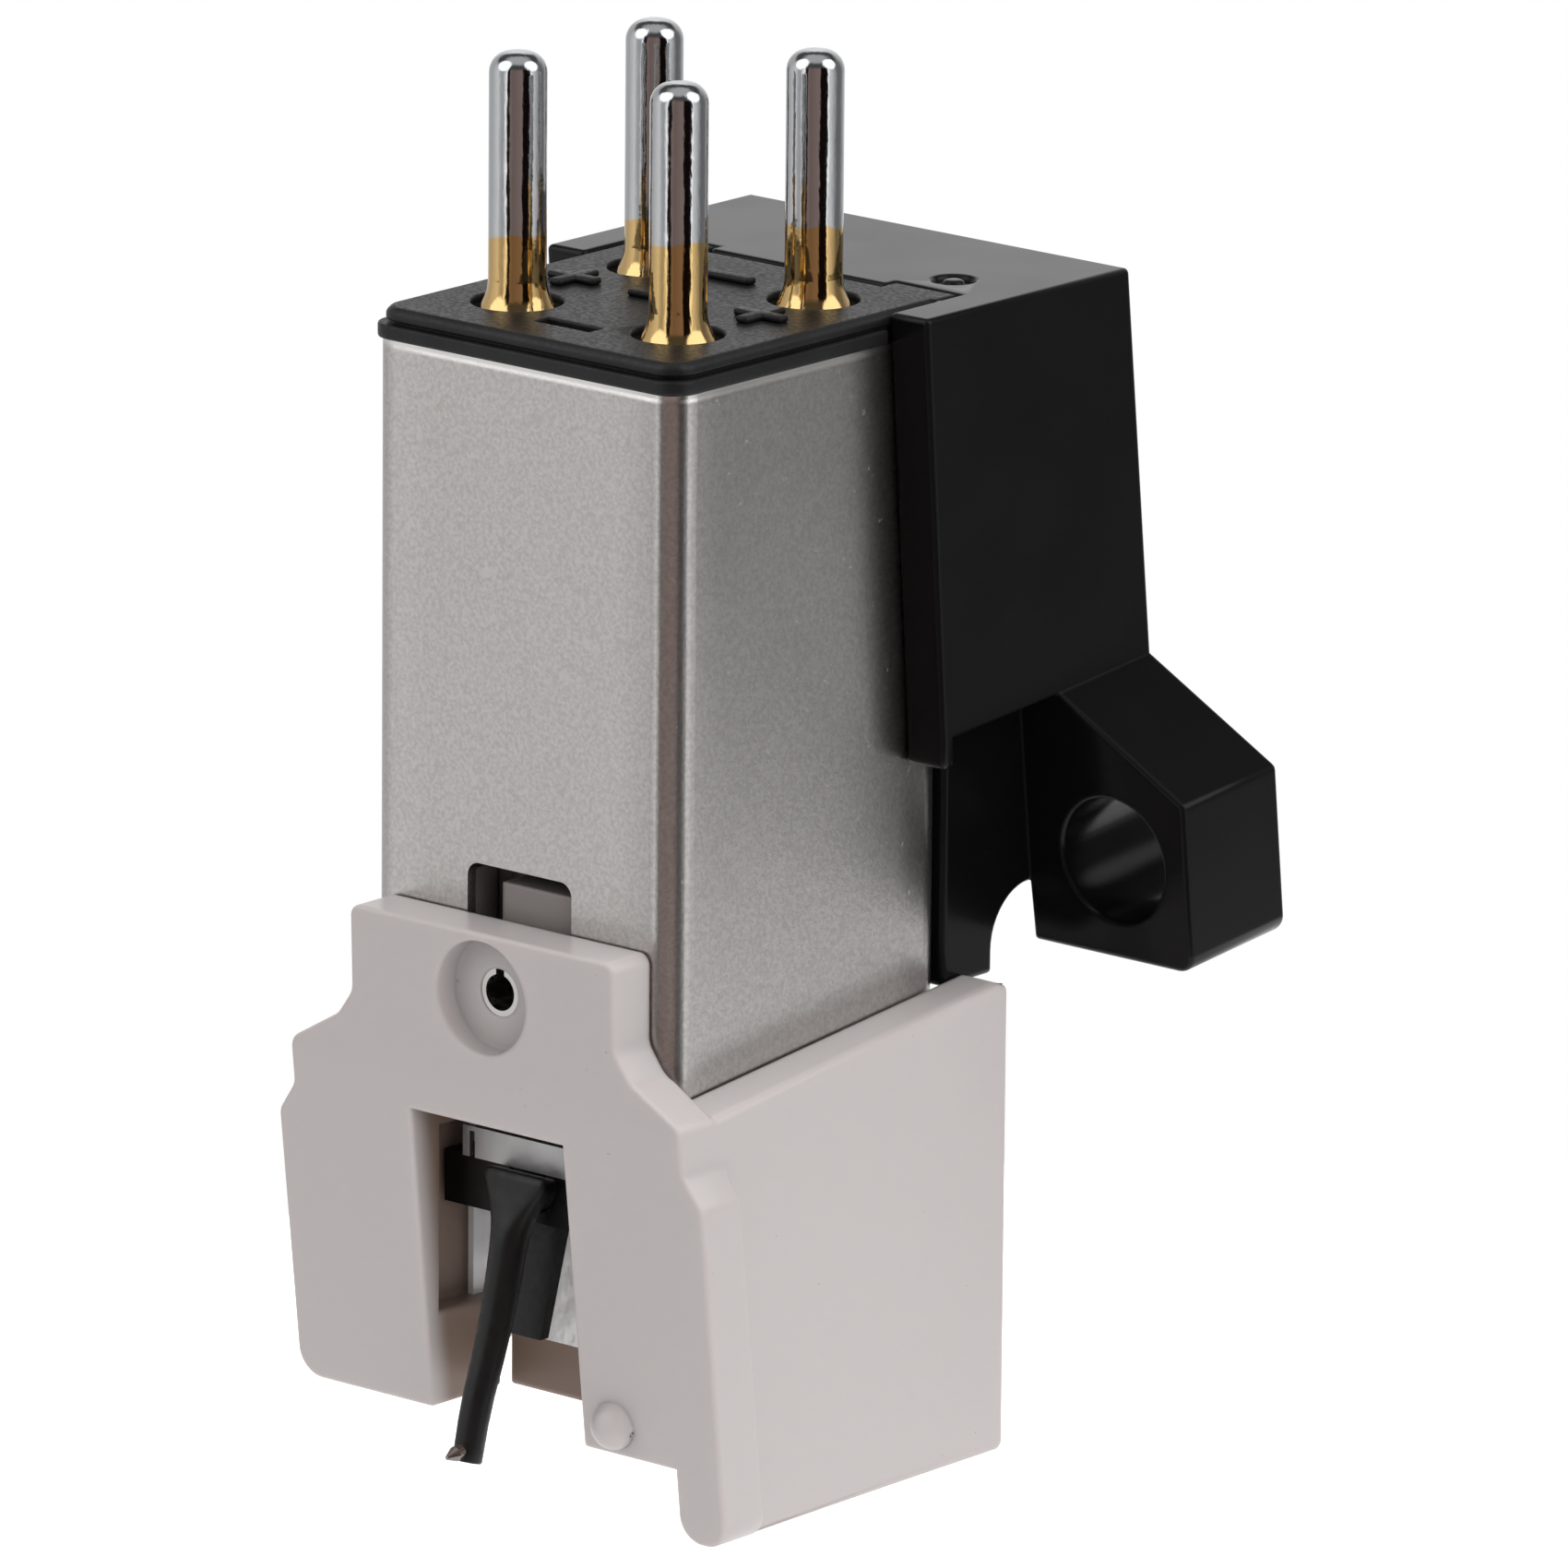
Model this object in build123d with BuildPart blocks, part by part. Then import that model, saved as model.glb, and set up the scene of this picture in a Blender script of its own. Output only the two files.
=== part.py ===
from build123d import *
from math import cos, radians, sin, tan
import os

os.makedirs("parts", exist_ok=True)

# A magnetic turntable cartridge, in millimetres.
# The origin is midway between the two mounting holes, on the mounting face. +Y leaves that
# face towards the headshell, +Z runs towards the terminal pins and +X runs across.
# The shield can and all that it holds lean from the mounting face by one tilt, so they are
# drawn in a frame of their own: x across, y from the front of the can towards the mounting
# face, and z up from the can's top edge.

# Fixing to the headshell
HOLE_SPACING = 12.7
HOLE_RADIUS = 1.32
TILT = 6.0
CAN_FRONT_FROM_FACE = 12.99
CAN_TOP_HEIGHT = 12.43

# Shield can, a sheet metal wrap
CAN_WIDTH = 8.2
CAN_DEPTH = 8.5
CAN_SHEET = 0.25
CAN_CORNER = 0.65
CAN_LENGTH = 15.1
WINDOW_WIDTH = 2.8
WINDOW_HEIGHT = 4.6
WINDOW_CORNER = 0.3

# Bracket moulding
BLOCK_WIDTH = 10.24
BLOCK_BOTTOM = 3.4
SHOULDER_FRONT = 6.55
SHOULDER_LEAN = 4.3
LIP_DEPTH = 0.35
LIP_DROP = 0.55
WAIST_WIDTH = 8.2
WAIST_BOTTOM = 12.17
THIN_WALL = 1.57
THIN_WALL_BOTTOM = 13.9
ARCH_RADIUS = 1.26
EAR_THICKNESS = 3.05
EAR_WIDTH = 16.64
EAR_TOP = 1.5
EAR_BOTTOM = 2.14
EAR_CORNER = 0.4
BLOCK_ROUND = 0.12
DIMPLE_RADIUS = 0.43
DIMPLE_CORE_RADIUS = 0.24
DIMPLE_DEPTH = 0.1
DIMPLE_X = 3.14
DIMPLE_Y = 9.74

# Terminal block
CAP_HEIGHT = 0.64
CAP_RIM = 0.3
CAP_OVERHANG = 0.06
CAP_STEP = 0.16
CAP_GROOVE = 0.06
CAP_CHAMFER = 0.12
CAP_BACK_GAP = 0.1
CAP_CORNER = 0.6
LUG_WIDTH = 1.6
LUG_DEPTH = 0.33
PLUG_LENGTH = 2.3
STRAP_SLOT_WIDTH = 1.45
STRAP_SLOT_DEPTH = 0.42
STRAP_SLOT_Y = 1.42
STRAP_THICKNESS = 0.15

# Terminal pins
PIN_SPACING_X = 4.3
PIN_SPACING_Y = 4.2
PIN_SETBACK = 0.15
PIN_RADIUS = 0.595
PIN_LENGTH = 5.8
PIN_DOME = 0.42
PIN_FLARE_RADIUS = 0.8
PIN_FLARE_HEIGHT = 0.6
PIN_FLARE_EDGE = 0.08
PIN_TAIL = 3.2
PIN_TAIL_RADIUS = 0.4
PIN_WELL_RADIUS = 0.95
PIN_WELL_DEPTH = 0.2

# Generator
COIL_TOP = 4.1
COIL_ABOVE_PLUG = 1.2
BOBBIN_WIDTH = 1.96
BOBBIN_DEPTH = 2.4
BOBBIN_WALL = 0.2
BOBBIN_FLANGE = 0.3
CORE_THICKNESS = 0.5
CORE_WIDTH = 1.0
CORE_X = 1.8
LEG_SPACING = 2.6
CORE_MID_Y = 3.4
YOKE_HEIGHT = 0.7
WINDING_GAP = 0.12

# Stylus holder, one moulding. Heights of the stylus unit are measured from the can's open end:
# a rise goes up from it and a drop goes down.
FIT_GAP = 0.06
TONGUE_WIDTH = 7.1
TONGUE_RISE = 3.55
TONGUE_CORNER = 0.25
TONGUE_FOOT = 0.5
TONGUE_STEP_WIDTH = 0.4
TONGUE_STEP_DROP = 0.55
TONGUE_FRONT = 1.2
SHOULDER_WIDTH = 10.5
SHOULDER_RISE = 1.7
SHOULDER_DROP = 1.3
SHOULDER_CORNER = 0.35
FLANGE_WIDTH = 11.44
FLANGE_DROP = 0.6
FLANGE_CORNER = 0.4
FLANGE_CREASE = 0.2
FLANGE_SLOPE = 0.65
FLANGE_THICKNESS = 1.25
LEAN_RISE = 0.2
LEAN_FRONT = 1.1
LEAN_BLEND = 8.0
LEG_FRONT = 0.28
LEG_DROP = 7.05
LEG_CORNER = 0.6
LEG_DEPTH = 1.85
KEEL_WIDTH = 1.22
KEEL_DROP = 8.58
KEEL_CORNER = 0.55
RIM_RISE = 0.44
WING_BACK = 9.2
WING_CORNER = 0.2
FLOOR_SETBACK = 0.8
FLOOR_THICKNESS = 1.04
SLOT_WIDTH = 4.1
SLOT_DROP = 0.55
POCKET_WIDTH = 5.2
POCKET_DROP = 5.05
BACK_WALL_WIDTH = 4.0
BACK_WALL_FRONT = 2.05
BACK_WALL_THICKNESS = 0.85
RECESS_RADIUS = 1.2
RECESS_DEPTH = 0.6
RECESS_RISE = 2.2
DOME_RADIUS = 0.5
DOME_X = 2.95
DOME_DROP = 6.4
PLUG_FRONT = 0.35
PLUG_DEPTH = 5.2
PLUG_RISE = 4.2
KEYWAY_WIDTH = 1.15
KEYWAY_X = 0.75
KEYWAY_DEPTH = 2.1
POLE_GAP = 0.08

# Roll pin
ROLL_RADIUS = 0.5
ROLL_SHEET = 0.12
ROLL_SLIT = 0.22
ROLL_LENGTH = 3.3
ROLL_SETBACK = 0.62

# Suspension
CARRIER_WIDTH = 4.8
CARRIER_TOP_WIDTH = 3.1
CARRIER_FRONT = 0.45
CARRIER_DEPTH = 0.8
CARRIER_DROP = 2.85
CARRIER_STEP_DROP = 1.75
PIVOT_DROP = 2.02
DAMPER_RADIUS = 0.6
DAMPER_LENGTH = 0.7
DAMPER_INSET = 0.05
DAMPER_GAP = 0.04
NECK_RADIUS = 0.3
NECK_GAP = 0.06
PLATE_WIDTH = 3.6
PLATE_SLIT = 0.14
PLATE_SLIT_X = 1.54
PLATE_BRIDGE = 0.1
PLATE_DROP = 1.75
PLATE_THICKNESS = 0.12
SLEEVE_SHEET = 0.15
SLEEVE_WIDTH = 5.0
SLEEVE_LIMB = 0.75
SLEEVE_BEND = 0.5
SLEEVE_TAIL_DROP = 5.85
STOP_WIDTH = 0.8
STOP_THICKNESS = 0.35
STOP_TIP_THICKNESS = 0.25
STOP_TOP_Y = 0.85
STOP_LOW_Y = 0.25
STOP_DROP = 5.25

# Cantilever and magnets
CANTILEVER_ANGLE = 15.9
CANTILEVER_LENGTH = 5.7
CANTILEVER_ROOT_RADIUS = 0.42
CANTILEVER_TIP_RADIUS = 0.31
ROOT_WIDTH = 1.66
ROOT_THICKNESS = 0.5
ROOT_HEIGHT = 1.25
ROOT_EDGE = 0.2
ROOT_CORNER = 0.12
STEM_WIDTH = 0.62
STEM_THICKNESS = 0.3
STEM_GAP = 0.1
STEM_RISE = 0.6
ROOT_RISE = 0.3
MAGNET_WIDTH = 0.5
MAGNET_THICKNESS = 0.5
MAGNET_LENGTH = 1.5
MAGNET_ANGLE = 12.0
CHAMBER_WIDTH = 2.9
CHAMBER_DEPTH = 1.75
CHAMBER_RISE = 1.4
STYLUS_RADIUS = 0.16
STYLUS_SHANK = 0.45
STYLUS_LENGTH = 0.25
STYLUS_TAPER = 25
STYLUS_FROM_END = 0.3
WIRE_RADIUS = 0.06
WIRE_GAP = 0.12

# Worked out from the sizes above
can_frame = Plane(
    origin=(0, -CAN_FRONT_FROM_FACE, CAN_TOP_HEIGHT),
    x_dir=(1, 0, 0),
    z_dir=(0, sin(radians(TILT)), cos(radians(TILT))),
)
can_axis = Axis(can_frame.origin, can_frame.z_dir)
can_half = CAN_WIDTH / 2
inner_half = can_half - CAN_SHEET
block_half = BLOCK_WIDTH / 2
can_end = -CAN_LENGTH
floor_top = can_end - FIT_GAP
floor_bottom = floor_top - FLOOR_THICKNESS
socket_half = can_half + FIT_GAP
plug_top = can_end + PLUG_RISE
tongue_top = can_end + TONGUE_RISE
recess_z = can_end + RECESS_RISE
shoulder_top = can_end + SHOULDER_RISE
chamber_top = can_end + CHAMBER_RISE
stem_top = can_end + STEM_RISE
rim_top = can_end + RIM_RISE
lean_top = can_end + LEAN_RISE
slot_top = can_end - SLOT_DROP
flange_top = can_end - FLANGE_DROP
carrier_step = can_end - CARRIER_STEP_DROP
plate_bottom = can_end - PLATE_DROP
pivot_z = can_end - PIVOT_DROP
carrier_bottom = can_end - CARRIER_DROP
pocket_floor = can_end - POCKET_DROP
stop_bottom = can_end - STOP_DROP
sleeve_tail = can_end - SLEEVE_TAIL_DROP
dome_z = can_end - DOME_DROP
leg_bottom = can_end - LEG_DROP
keel_bottom = can_end - KEEL_DROP
far_below = keel_bottom - FLANGE_THICKNESS
leg_slope = (LEAN_FRONT - LEG_FRONT) / (lean_top - leg_bottom)
pivot_y = CARRIER_FRONT + DAMPER_INSET + DAMPER_LENGTH / 2
beyond = CAN_FRONT_FROM_FACE + CAN_LENGTH


def level(z):
    """A plane across the can at a height: x across, y towards the mounting face."""
    return can_frame.offset(z)


def facing(y):
    """A plane parallel to the can's front: x across, y up, its normal towards the front."""
    origin = can_frame.from_local_coords(Vector(0, y, 0))
    return Plane(origin=origin, x_dir=can_frame.x_dir, z_dir=-can_frame.y_dir)


def beside(x):
    """A plane parallel to the can's side: x towards the mounting face, y up, normal +X."""
    origin = can_frame.from_local_coords(Vector(x, 0, 0))
    return Plane(origin=origin, x_dir=can_frame.y_dir, z_dir=can_frame.x_dir)


def can_outline(grow, corner):
    """The can's plan outline on the sketch in hand, grown by a margin on every side."""
    with Locations((0, CAN_DEPTH / 2)):
        RectangleRounded(CAN_WIDTH + 2 * grow, CAN_DEPTH + 2 * grow, corner)


def front_y(z):
    """The depth of the holder's leaning front face at a height below the lean's start."""
    return -LEAN_FRONT + leg_slope * (lean_top - z)


def rim_z(y):
    """The height of the holder's rim, which is square to the mounting face."""
    return rim_top + y * tan(radians(TILT))


# Shield can
with BuildPart() as shield_can:
    with BuildSketch(level(-CAN_LENGTH)):
        can_outline(0, CAN_CORNER)
        can_outline_inner = RectangleRounded(
            CAN_WIDTH - 2 * CAN_SHEET,
            CAN_DEPTH - 2 * CAN_SHEET,
            CAN_CORNER - CAN_SHEET,
            mode=Mode.PRIVATE,
        )
        add(can_outline_inner.moved(Location((0, CAN_DEPTH / 2))), mode=Mode.SUBTRACT)
    extrude(amount=CAN_LENGTH)
    with BuildSketch(facing(CAN_SHEET)) as window:
        with Locations((0, can_end)):
            Rectangle(WINDOW_WIDTH, WINDOW_HEIGHT, align=(Align.CENTER, Align.MIN))
        fillet(window.vertices().group_by(Axis.Y)[-1], WINDOW_CORNER)
    extrude(amount=CAN_SHEET * 2, mode=Mode.SUBTRACT)
    extrude(window.sketch, amount=-CAN_SHEET / 2, mode=Mode.SUBTRACT)
shield_can.part.label = "shield_can"
export_step(shield_can.part, "parts/shield_can.step")

# Bracket, the glossy moulding that holds the can and carries the two drilled ears
with BuildPart() as bracket:
    with BuildSketch(beside(0)):
        with BuildLine():
            lean = (CAP_HEIGHT + WAIST_BOTTOM) * tan(radians(SHOULDER_LEAN))
            Polyline(
                (SHOULDER_FRONT, CAP_HEIGHT),
                (beyond, CAP_HEIGHT),
                (beyond, -WAIST_BOTTOM),
                (SHOULDER_FRONT + lean, -WAIST_BOTTOM),
                close=True,
            )
        make_face()
    extrude(amount=block_half, both=True)
    split(bisect_by=Plane.XY.offset(BLOCK_BOTTOM), keep=Keep.TOP)
    front_low = bracket.vertices().group_by(Axis.Z)[0].sort_by(Axis.Y)[0]
    low = can_frame.to_local_coords(front_low.center())
    with BuildSketch(beside(0)):
        with Locations((low.Y, low.Z + LIP_DROP)):
            Rectangle(LIP_DEPTH, 2 * LIP_DROP, align=(Align.MIN, Align.MAX))
    extrude(amount=block_half, both=True)
    with BuildSketch(beside(0)) as waist:
        with BuildLine():
            Polyline(
                (CAN_DEPTH, -CAN_LENGTH / 2),
                (beyond, -CAN_LENGTH / 2),
                (beyond, -WAIST_BOTTOM),
                (CAN_DEPTH + THIN_WALL, -WAIST_BOTTOM),
                (CAN_DEPTH + THIN_WALL, -THIN_WALL_BOTTOM),
                (CAN_DEPTH, -THIN_WALL_BOTTOM),
                close=True,
            )
        make_face()
        arch = waist.vertices().sort_by_distance((CAN_DEPTH + THIN_WALL, -WAIST_BOTTOM))[0]
        fillet(arch, ARCH_RADIUS)
    extrude(amount=WAIST_WIDTH / 2, both=True)
    with BuildSketch(Plane.XZ) as ears:
        with BuildLine():
            Polyline(
                (WAIST_WIDTH / 2, -EAR_BOTTOM),
                (EAR_WIDTH / 2, -EAR_BOTTOM),
                (EAR_WIDTH / 2, EAR_TOP),
                (block_half, BLOCK_BOTTOM),
                (WAIST_WIDTH / 2, BLOCK_BOTTOM),
                close=True,
            )
        make_face()
        outer = ears.vertices().group_by(Axis.X)[-1].sort_by(Axis.Y)[0]
        fillet(outer, EAR_CORNER)
        mirror(about=Plane.YZ)
        with Locations((-HOLE_SPACING / 2, 0), (HOLE_SPACING / 2, 0)):
            Circle(HOLE_RADIUS, mode=Mode.SUBTRACT)
    extrude(amount=EAR_THICKNESS)
    split(bisect_by=Plane.XZ, keep=Keep.TOP)
    with BuildSketch(level(-CAN_LENGTH)):
        can_outline(0, CAN_CORNER)
    extrude(amount=CAN_LENGTH + CAP_HEIGHT, mode=Mode.SUBTRACT)
    with BuildSketch(level(0)):
        lug_x = can_half - FIT_GAP - LUG_WIDTH / 2
        with Locations((-lug_x, CAN_DEPTH), (lug_x, CAN_DEPTH)):
            Rectangle(LUG_WIDTH + 2 * FIT_GAP, 2 * LUG_DEPTH)
    extrude(amount=CAP_HEIGHT, mode=Mode.SUBTRACT)
    with BuildSketch(level(CAP_HEIGHT)):
        with Locations((DIMPLE_X, DIMPLE_Y)):
            Circle(DIMPLE_RADIUS)
            Circle(DIMPLE_CORE_RADIUS, mode=Mode.SUBTRACT)
    extrude(amount=-DIMPLE_DEPTH, mode=Mode.SUBTRACT)
    for side in (-1, 1):
        top_corner = Vector(side * block_half, SHOULDER_FRONT, CAP_HEIGHT)
        meeting = bracket.edges().sort_by_distance(can_frame.from_local_coords(top_corner))[:3]
        fillet(meeting, BLOCK_ROUND)
bracket.part.label = "bracket"
export_step(bracket.part, "parts/bracket.step")

pins_y = CAN_DEPTH / 2 + PIN_SETBACK
pin_places = [
    (side * PIN_SPACING_X / 2, pins_y + row * PIN_SPACING_Y / 2)
    for side in (-1, 1)
    for row in (-1, 1)
]
pin_names = ["left_signal_pin", "left_return_pin", "right_signal_pin", "right_return_pin"]

# Terminal block, the matt cap with its two-stepped edge, and the plug below it in the can
with BuildPart() as terminal_block:
    cap_back = CAN_DEPTH - CAP_BACK_GAP
    rim_back = SHOULDER_FRONT - FIT_GAP
    step_height = CAP_RIM + CAP_GROOVE
    for bottom, top, half, front, back in (
        (0, CAP_RIM, can_half + CAP_OVERHANG, -CAP_OVERHANG, rim_back),
        (0, step_height, can_half - CAP_STEP, CAP_STEP, cap_back),
        (step_height, CAP_HEIGHT, can_half - FIT_GAP, FIT_GAP, cap_back),
    ):
        with BuildSketch(level(bottom)) as layer:
            with Locations((0, front)):
                Rectangle(2 * half, back - front, align=(Align.CENTER, Align.MIN))
            fillet(layer.vertices().group_by(Axis.Y)[0], CAP_CORNER)
        extrude(amount=top - bottom)
    cap_top_edges = terminal_block.faces().sort_by(can_axis)[-1].edges()
    chamfer(cap_top_edges, CAP_CHAMFER)
    with BuildSketch(level(0)):
        with Locations((-lug_x, cap_back), (lug_x, cap_back)):
            Rectangle(LUG_WIDTH, 2 * LUG_DEPTH)
    extrude(amount=CAP_HEIGHT)
    with BuildSketch(level(-PLUG_LENGTH)):
        with Locations((0, CAN_DEPTH / 2)):
            RectangleRounded(
                CAN_WIDTH - 2 * CAN_SHEET - 2 * FIT_GAP,
                CAN_DEPTH - 2 * CAN_SHEET - 2 * FIT_GAP,
                CAN_CORNER - CAN_SHEET,
            )
    extrude(amount=PLUG_LENGTH)
    with BuildSketch(level(CAP_HEIGHT)):
        with Locations((0, STRAP_SLOT_Y)):
            Rectangle(STRAP_SLOT_WIDTH, STRAP_SLOT_DEPTH)
    extrude(amount=-CAP_HEIGHT - PLUG_LENGTH, mode=Mode.SUBTRACT)
    with BuildSketch(level(CAP_HEIGHT)):
        with Locations(*pin_places):
            Circle(PIN_WELL_RADIUS)
    extrude(amount=-PIN_WELL_DEPTH, mode=Mode.SUBTRACT)
    with BuildSketch(level(CAP_HEIGHT)):
        with Locations(*pin_places):
            Circle(PIN_TAIL_RADIUS)
    extrude(amount=-CAP_HEIGHT - PLUG_LENGTH, mode=Mode.SUBTRACT)
terminal_block.part.label = "terminal_block"
export_step(terminal_block.part, "parts/terminal_block.step")

# Terminal pins, turned with a flared foot and a rounded end
for name, place in zip(pin_names, pin_places):
    with BuildPart() as pin:
        foot = CAP_HEIGHT - PIN_WELL_DEPTH
        stand = beside(place[0])
        turned = Plane(
            origin=can_frame.from_local_coords(Vector(place[0], place[1], 0)),
            x_dir=stand.x_dir,
            z_dir=stand.z_dir,
        )
        flare_top = foot + PIN_FLARE_EDGE + PIN_FLARE_HEIGHT
        with BuildSketch(turned) as profile:
            with BuildLine():
                Polyline(
                    (PIN_RADIUS, flare_top),
                    (PIN_RADIUS, PIN_LENGTH),
                    (0, PIN_LENGTH),
                    (0, -PIN_TAIL),
                    (PIN_TAIL_RADIUS, -PIN_TAIL),
                    (PIN_TAIL_RADIUS, foot),
                    (PIN_FLARE_RADIUS, foot),
                    (PIN_FLARE_RADIUS, foot + PIN_FLARE_EDGE),
                )
                TangentArc(
                    (PIN_RADIUS, flare_top),
                    (PIN_FLARE_RADIUS, foot + PIN_FLARE_EDGE),
                    tangent=(0, -1),
                )
            make_face()
            fillet(profile.vertices().sort_by_distance((PIN_RADIUS, PIN_LENGTH))[0], PIN_DOME)
        revolve(axis=Axis(turned.origin, turned.y_dir))
    pin.part.label = name
    export_step(pin.part, f"parts/{name}.step")

# Ground strap, a folded tab that reaches up into the slot of the cap and down inside the can
with BuildPart() as ground_strap:
    strap_half = STRAP_SLOT_WIDTH / 2 - FIT_GAP
    strap_y = STRAP_SLOT_Y - STRAP_SLOT_DEPTH / 2
    with BuildSketch(level(-PLUG_LENGTH)):
        with Locations((0, strap_y)):
            Rectangle(2 * strap_half, STRAP_THICKNESS, align=(Align.CENTER, Align.MIN))
    extrude(amount=PLUG_LENGTH + CAP_RIM)
    with BuildSketch(level(-PLUG_LENGTH - STRAP_THICKNESS)):
        with Locations((0, CAN_SHEET)):
            foot_depth = strap_y + STRAP_THICKNESS - CAN_SHEET
            Rectangle(2 * strap_half, foot_depth, align=(Align.CENTER, Align.MIN))
    extrude(amount=STRAP_THICKNESS)
ground_strap.part.label = "ground_strap"
export_step(ground_strap.part, "parts/ground_strap.step")

# Cores, coil bobbins and windings: each channel has one U-shaped core with two coils on it
core_top = -COIL_TOP + YOKE_HEIGHT
core_tip = floor_top - FLOOR_THICKNESS / 2
coil_top = -COIL_TOP
coil_bottom = plug_top + COIL_ABOVE_PLUG
coil_places = [CORE_MID_Y - LEG_SPACING / 2, CORE_MID_Y + LEG_SPACING / 2]
tube_size = (CORE_THICKNESS + 2 * BOBBIN_WALL, CORE_WIDTH + 2 * BOBBIN_WALL)
for channel, side in (("left", -1), ("right", 1)):
    core_x = side * CORE_X
    with BuildPart() as core:
        with BuildSketch(beside(core_x - CORE_THICKNESS / 2)):
            for leg_y in coil_places:
                with Locations((leg_y, core_tip)):
                    Rectangle(CORE_WIDTH, core_top - core_tip, align=(Align.CENTER, Align.MIN))
            with Locations((CORE_MID_Y, core_top)):
                Rectangle(LEG_SPACING + CORE_WIDTH, YOKE_HEIGHT, align=(Align.CENTER, Align.MAX))
        extrude(amount=CORE_THICKNESS)
    core.part.label = f"{channel}_core"
    export_step(core.part, f"parts/{channel}_core.step")
    for row, leg_y in zip(("front", "rear"), coil_places):
        with BuildPart() as bobbin:
            with BuildSketch(level(coil_bottom), level(coil_top - BOBBIN_FLANGE)):
                with Locations((core_x, leg_y)):
                    Rectangle(BOBBIN_WIDTH, BOBBIN_DEPTH)
            extrude(amount=BOBBIN_FLANGE)
            with BuildSketch(level(coil_bottom)):
                with Locations((core_x, leg_y)):
                    Rectangle(*tube_size)
            extrude(amount=coil_top - coil_bottom)
            with BuildSketch(level(coil_bottom)):
                with Locations((core_x, leg_y)):
                    Rectangle(CORE_THICKNESS, CORE_WIDTH)
            extrude(amount=coil_top - coil_bottom, mode=Mode.SUBTRACT)
        bobbin.part.label = f"{channel}_{row}_bobbin"
        export_step(bobbin.part, f"parts/{channel}_{row}_bobbin.step")
        with BuildPart() as winding:
            with BuildSketch(level(coil_bottom + BOBBIN_FLANGE)):
                with Locations((core_x, leg_y)):
                    Rectangle(BOBBIN_WIDTH - 2 * WINDING_GAP, BOBBIN_DEPTH - 2 * WINDING_GAP)
                    Rectangle(*tube_size, mode=Mode.SUBTRACT)
            extrude(amount=coil_top - coil_bottom - 2 * BOBBIN_FLANGE)
        winding.part.label = f"{channel}_{row}_winding"
        export_step(winding.part, f"parts/{channel}_{row}_winding.step")

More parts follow.
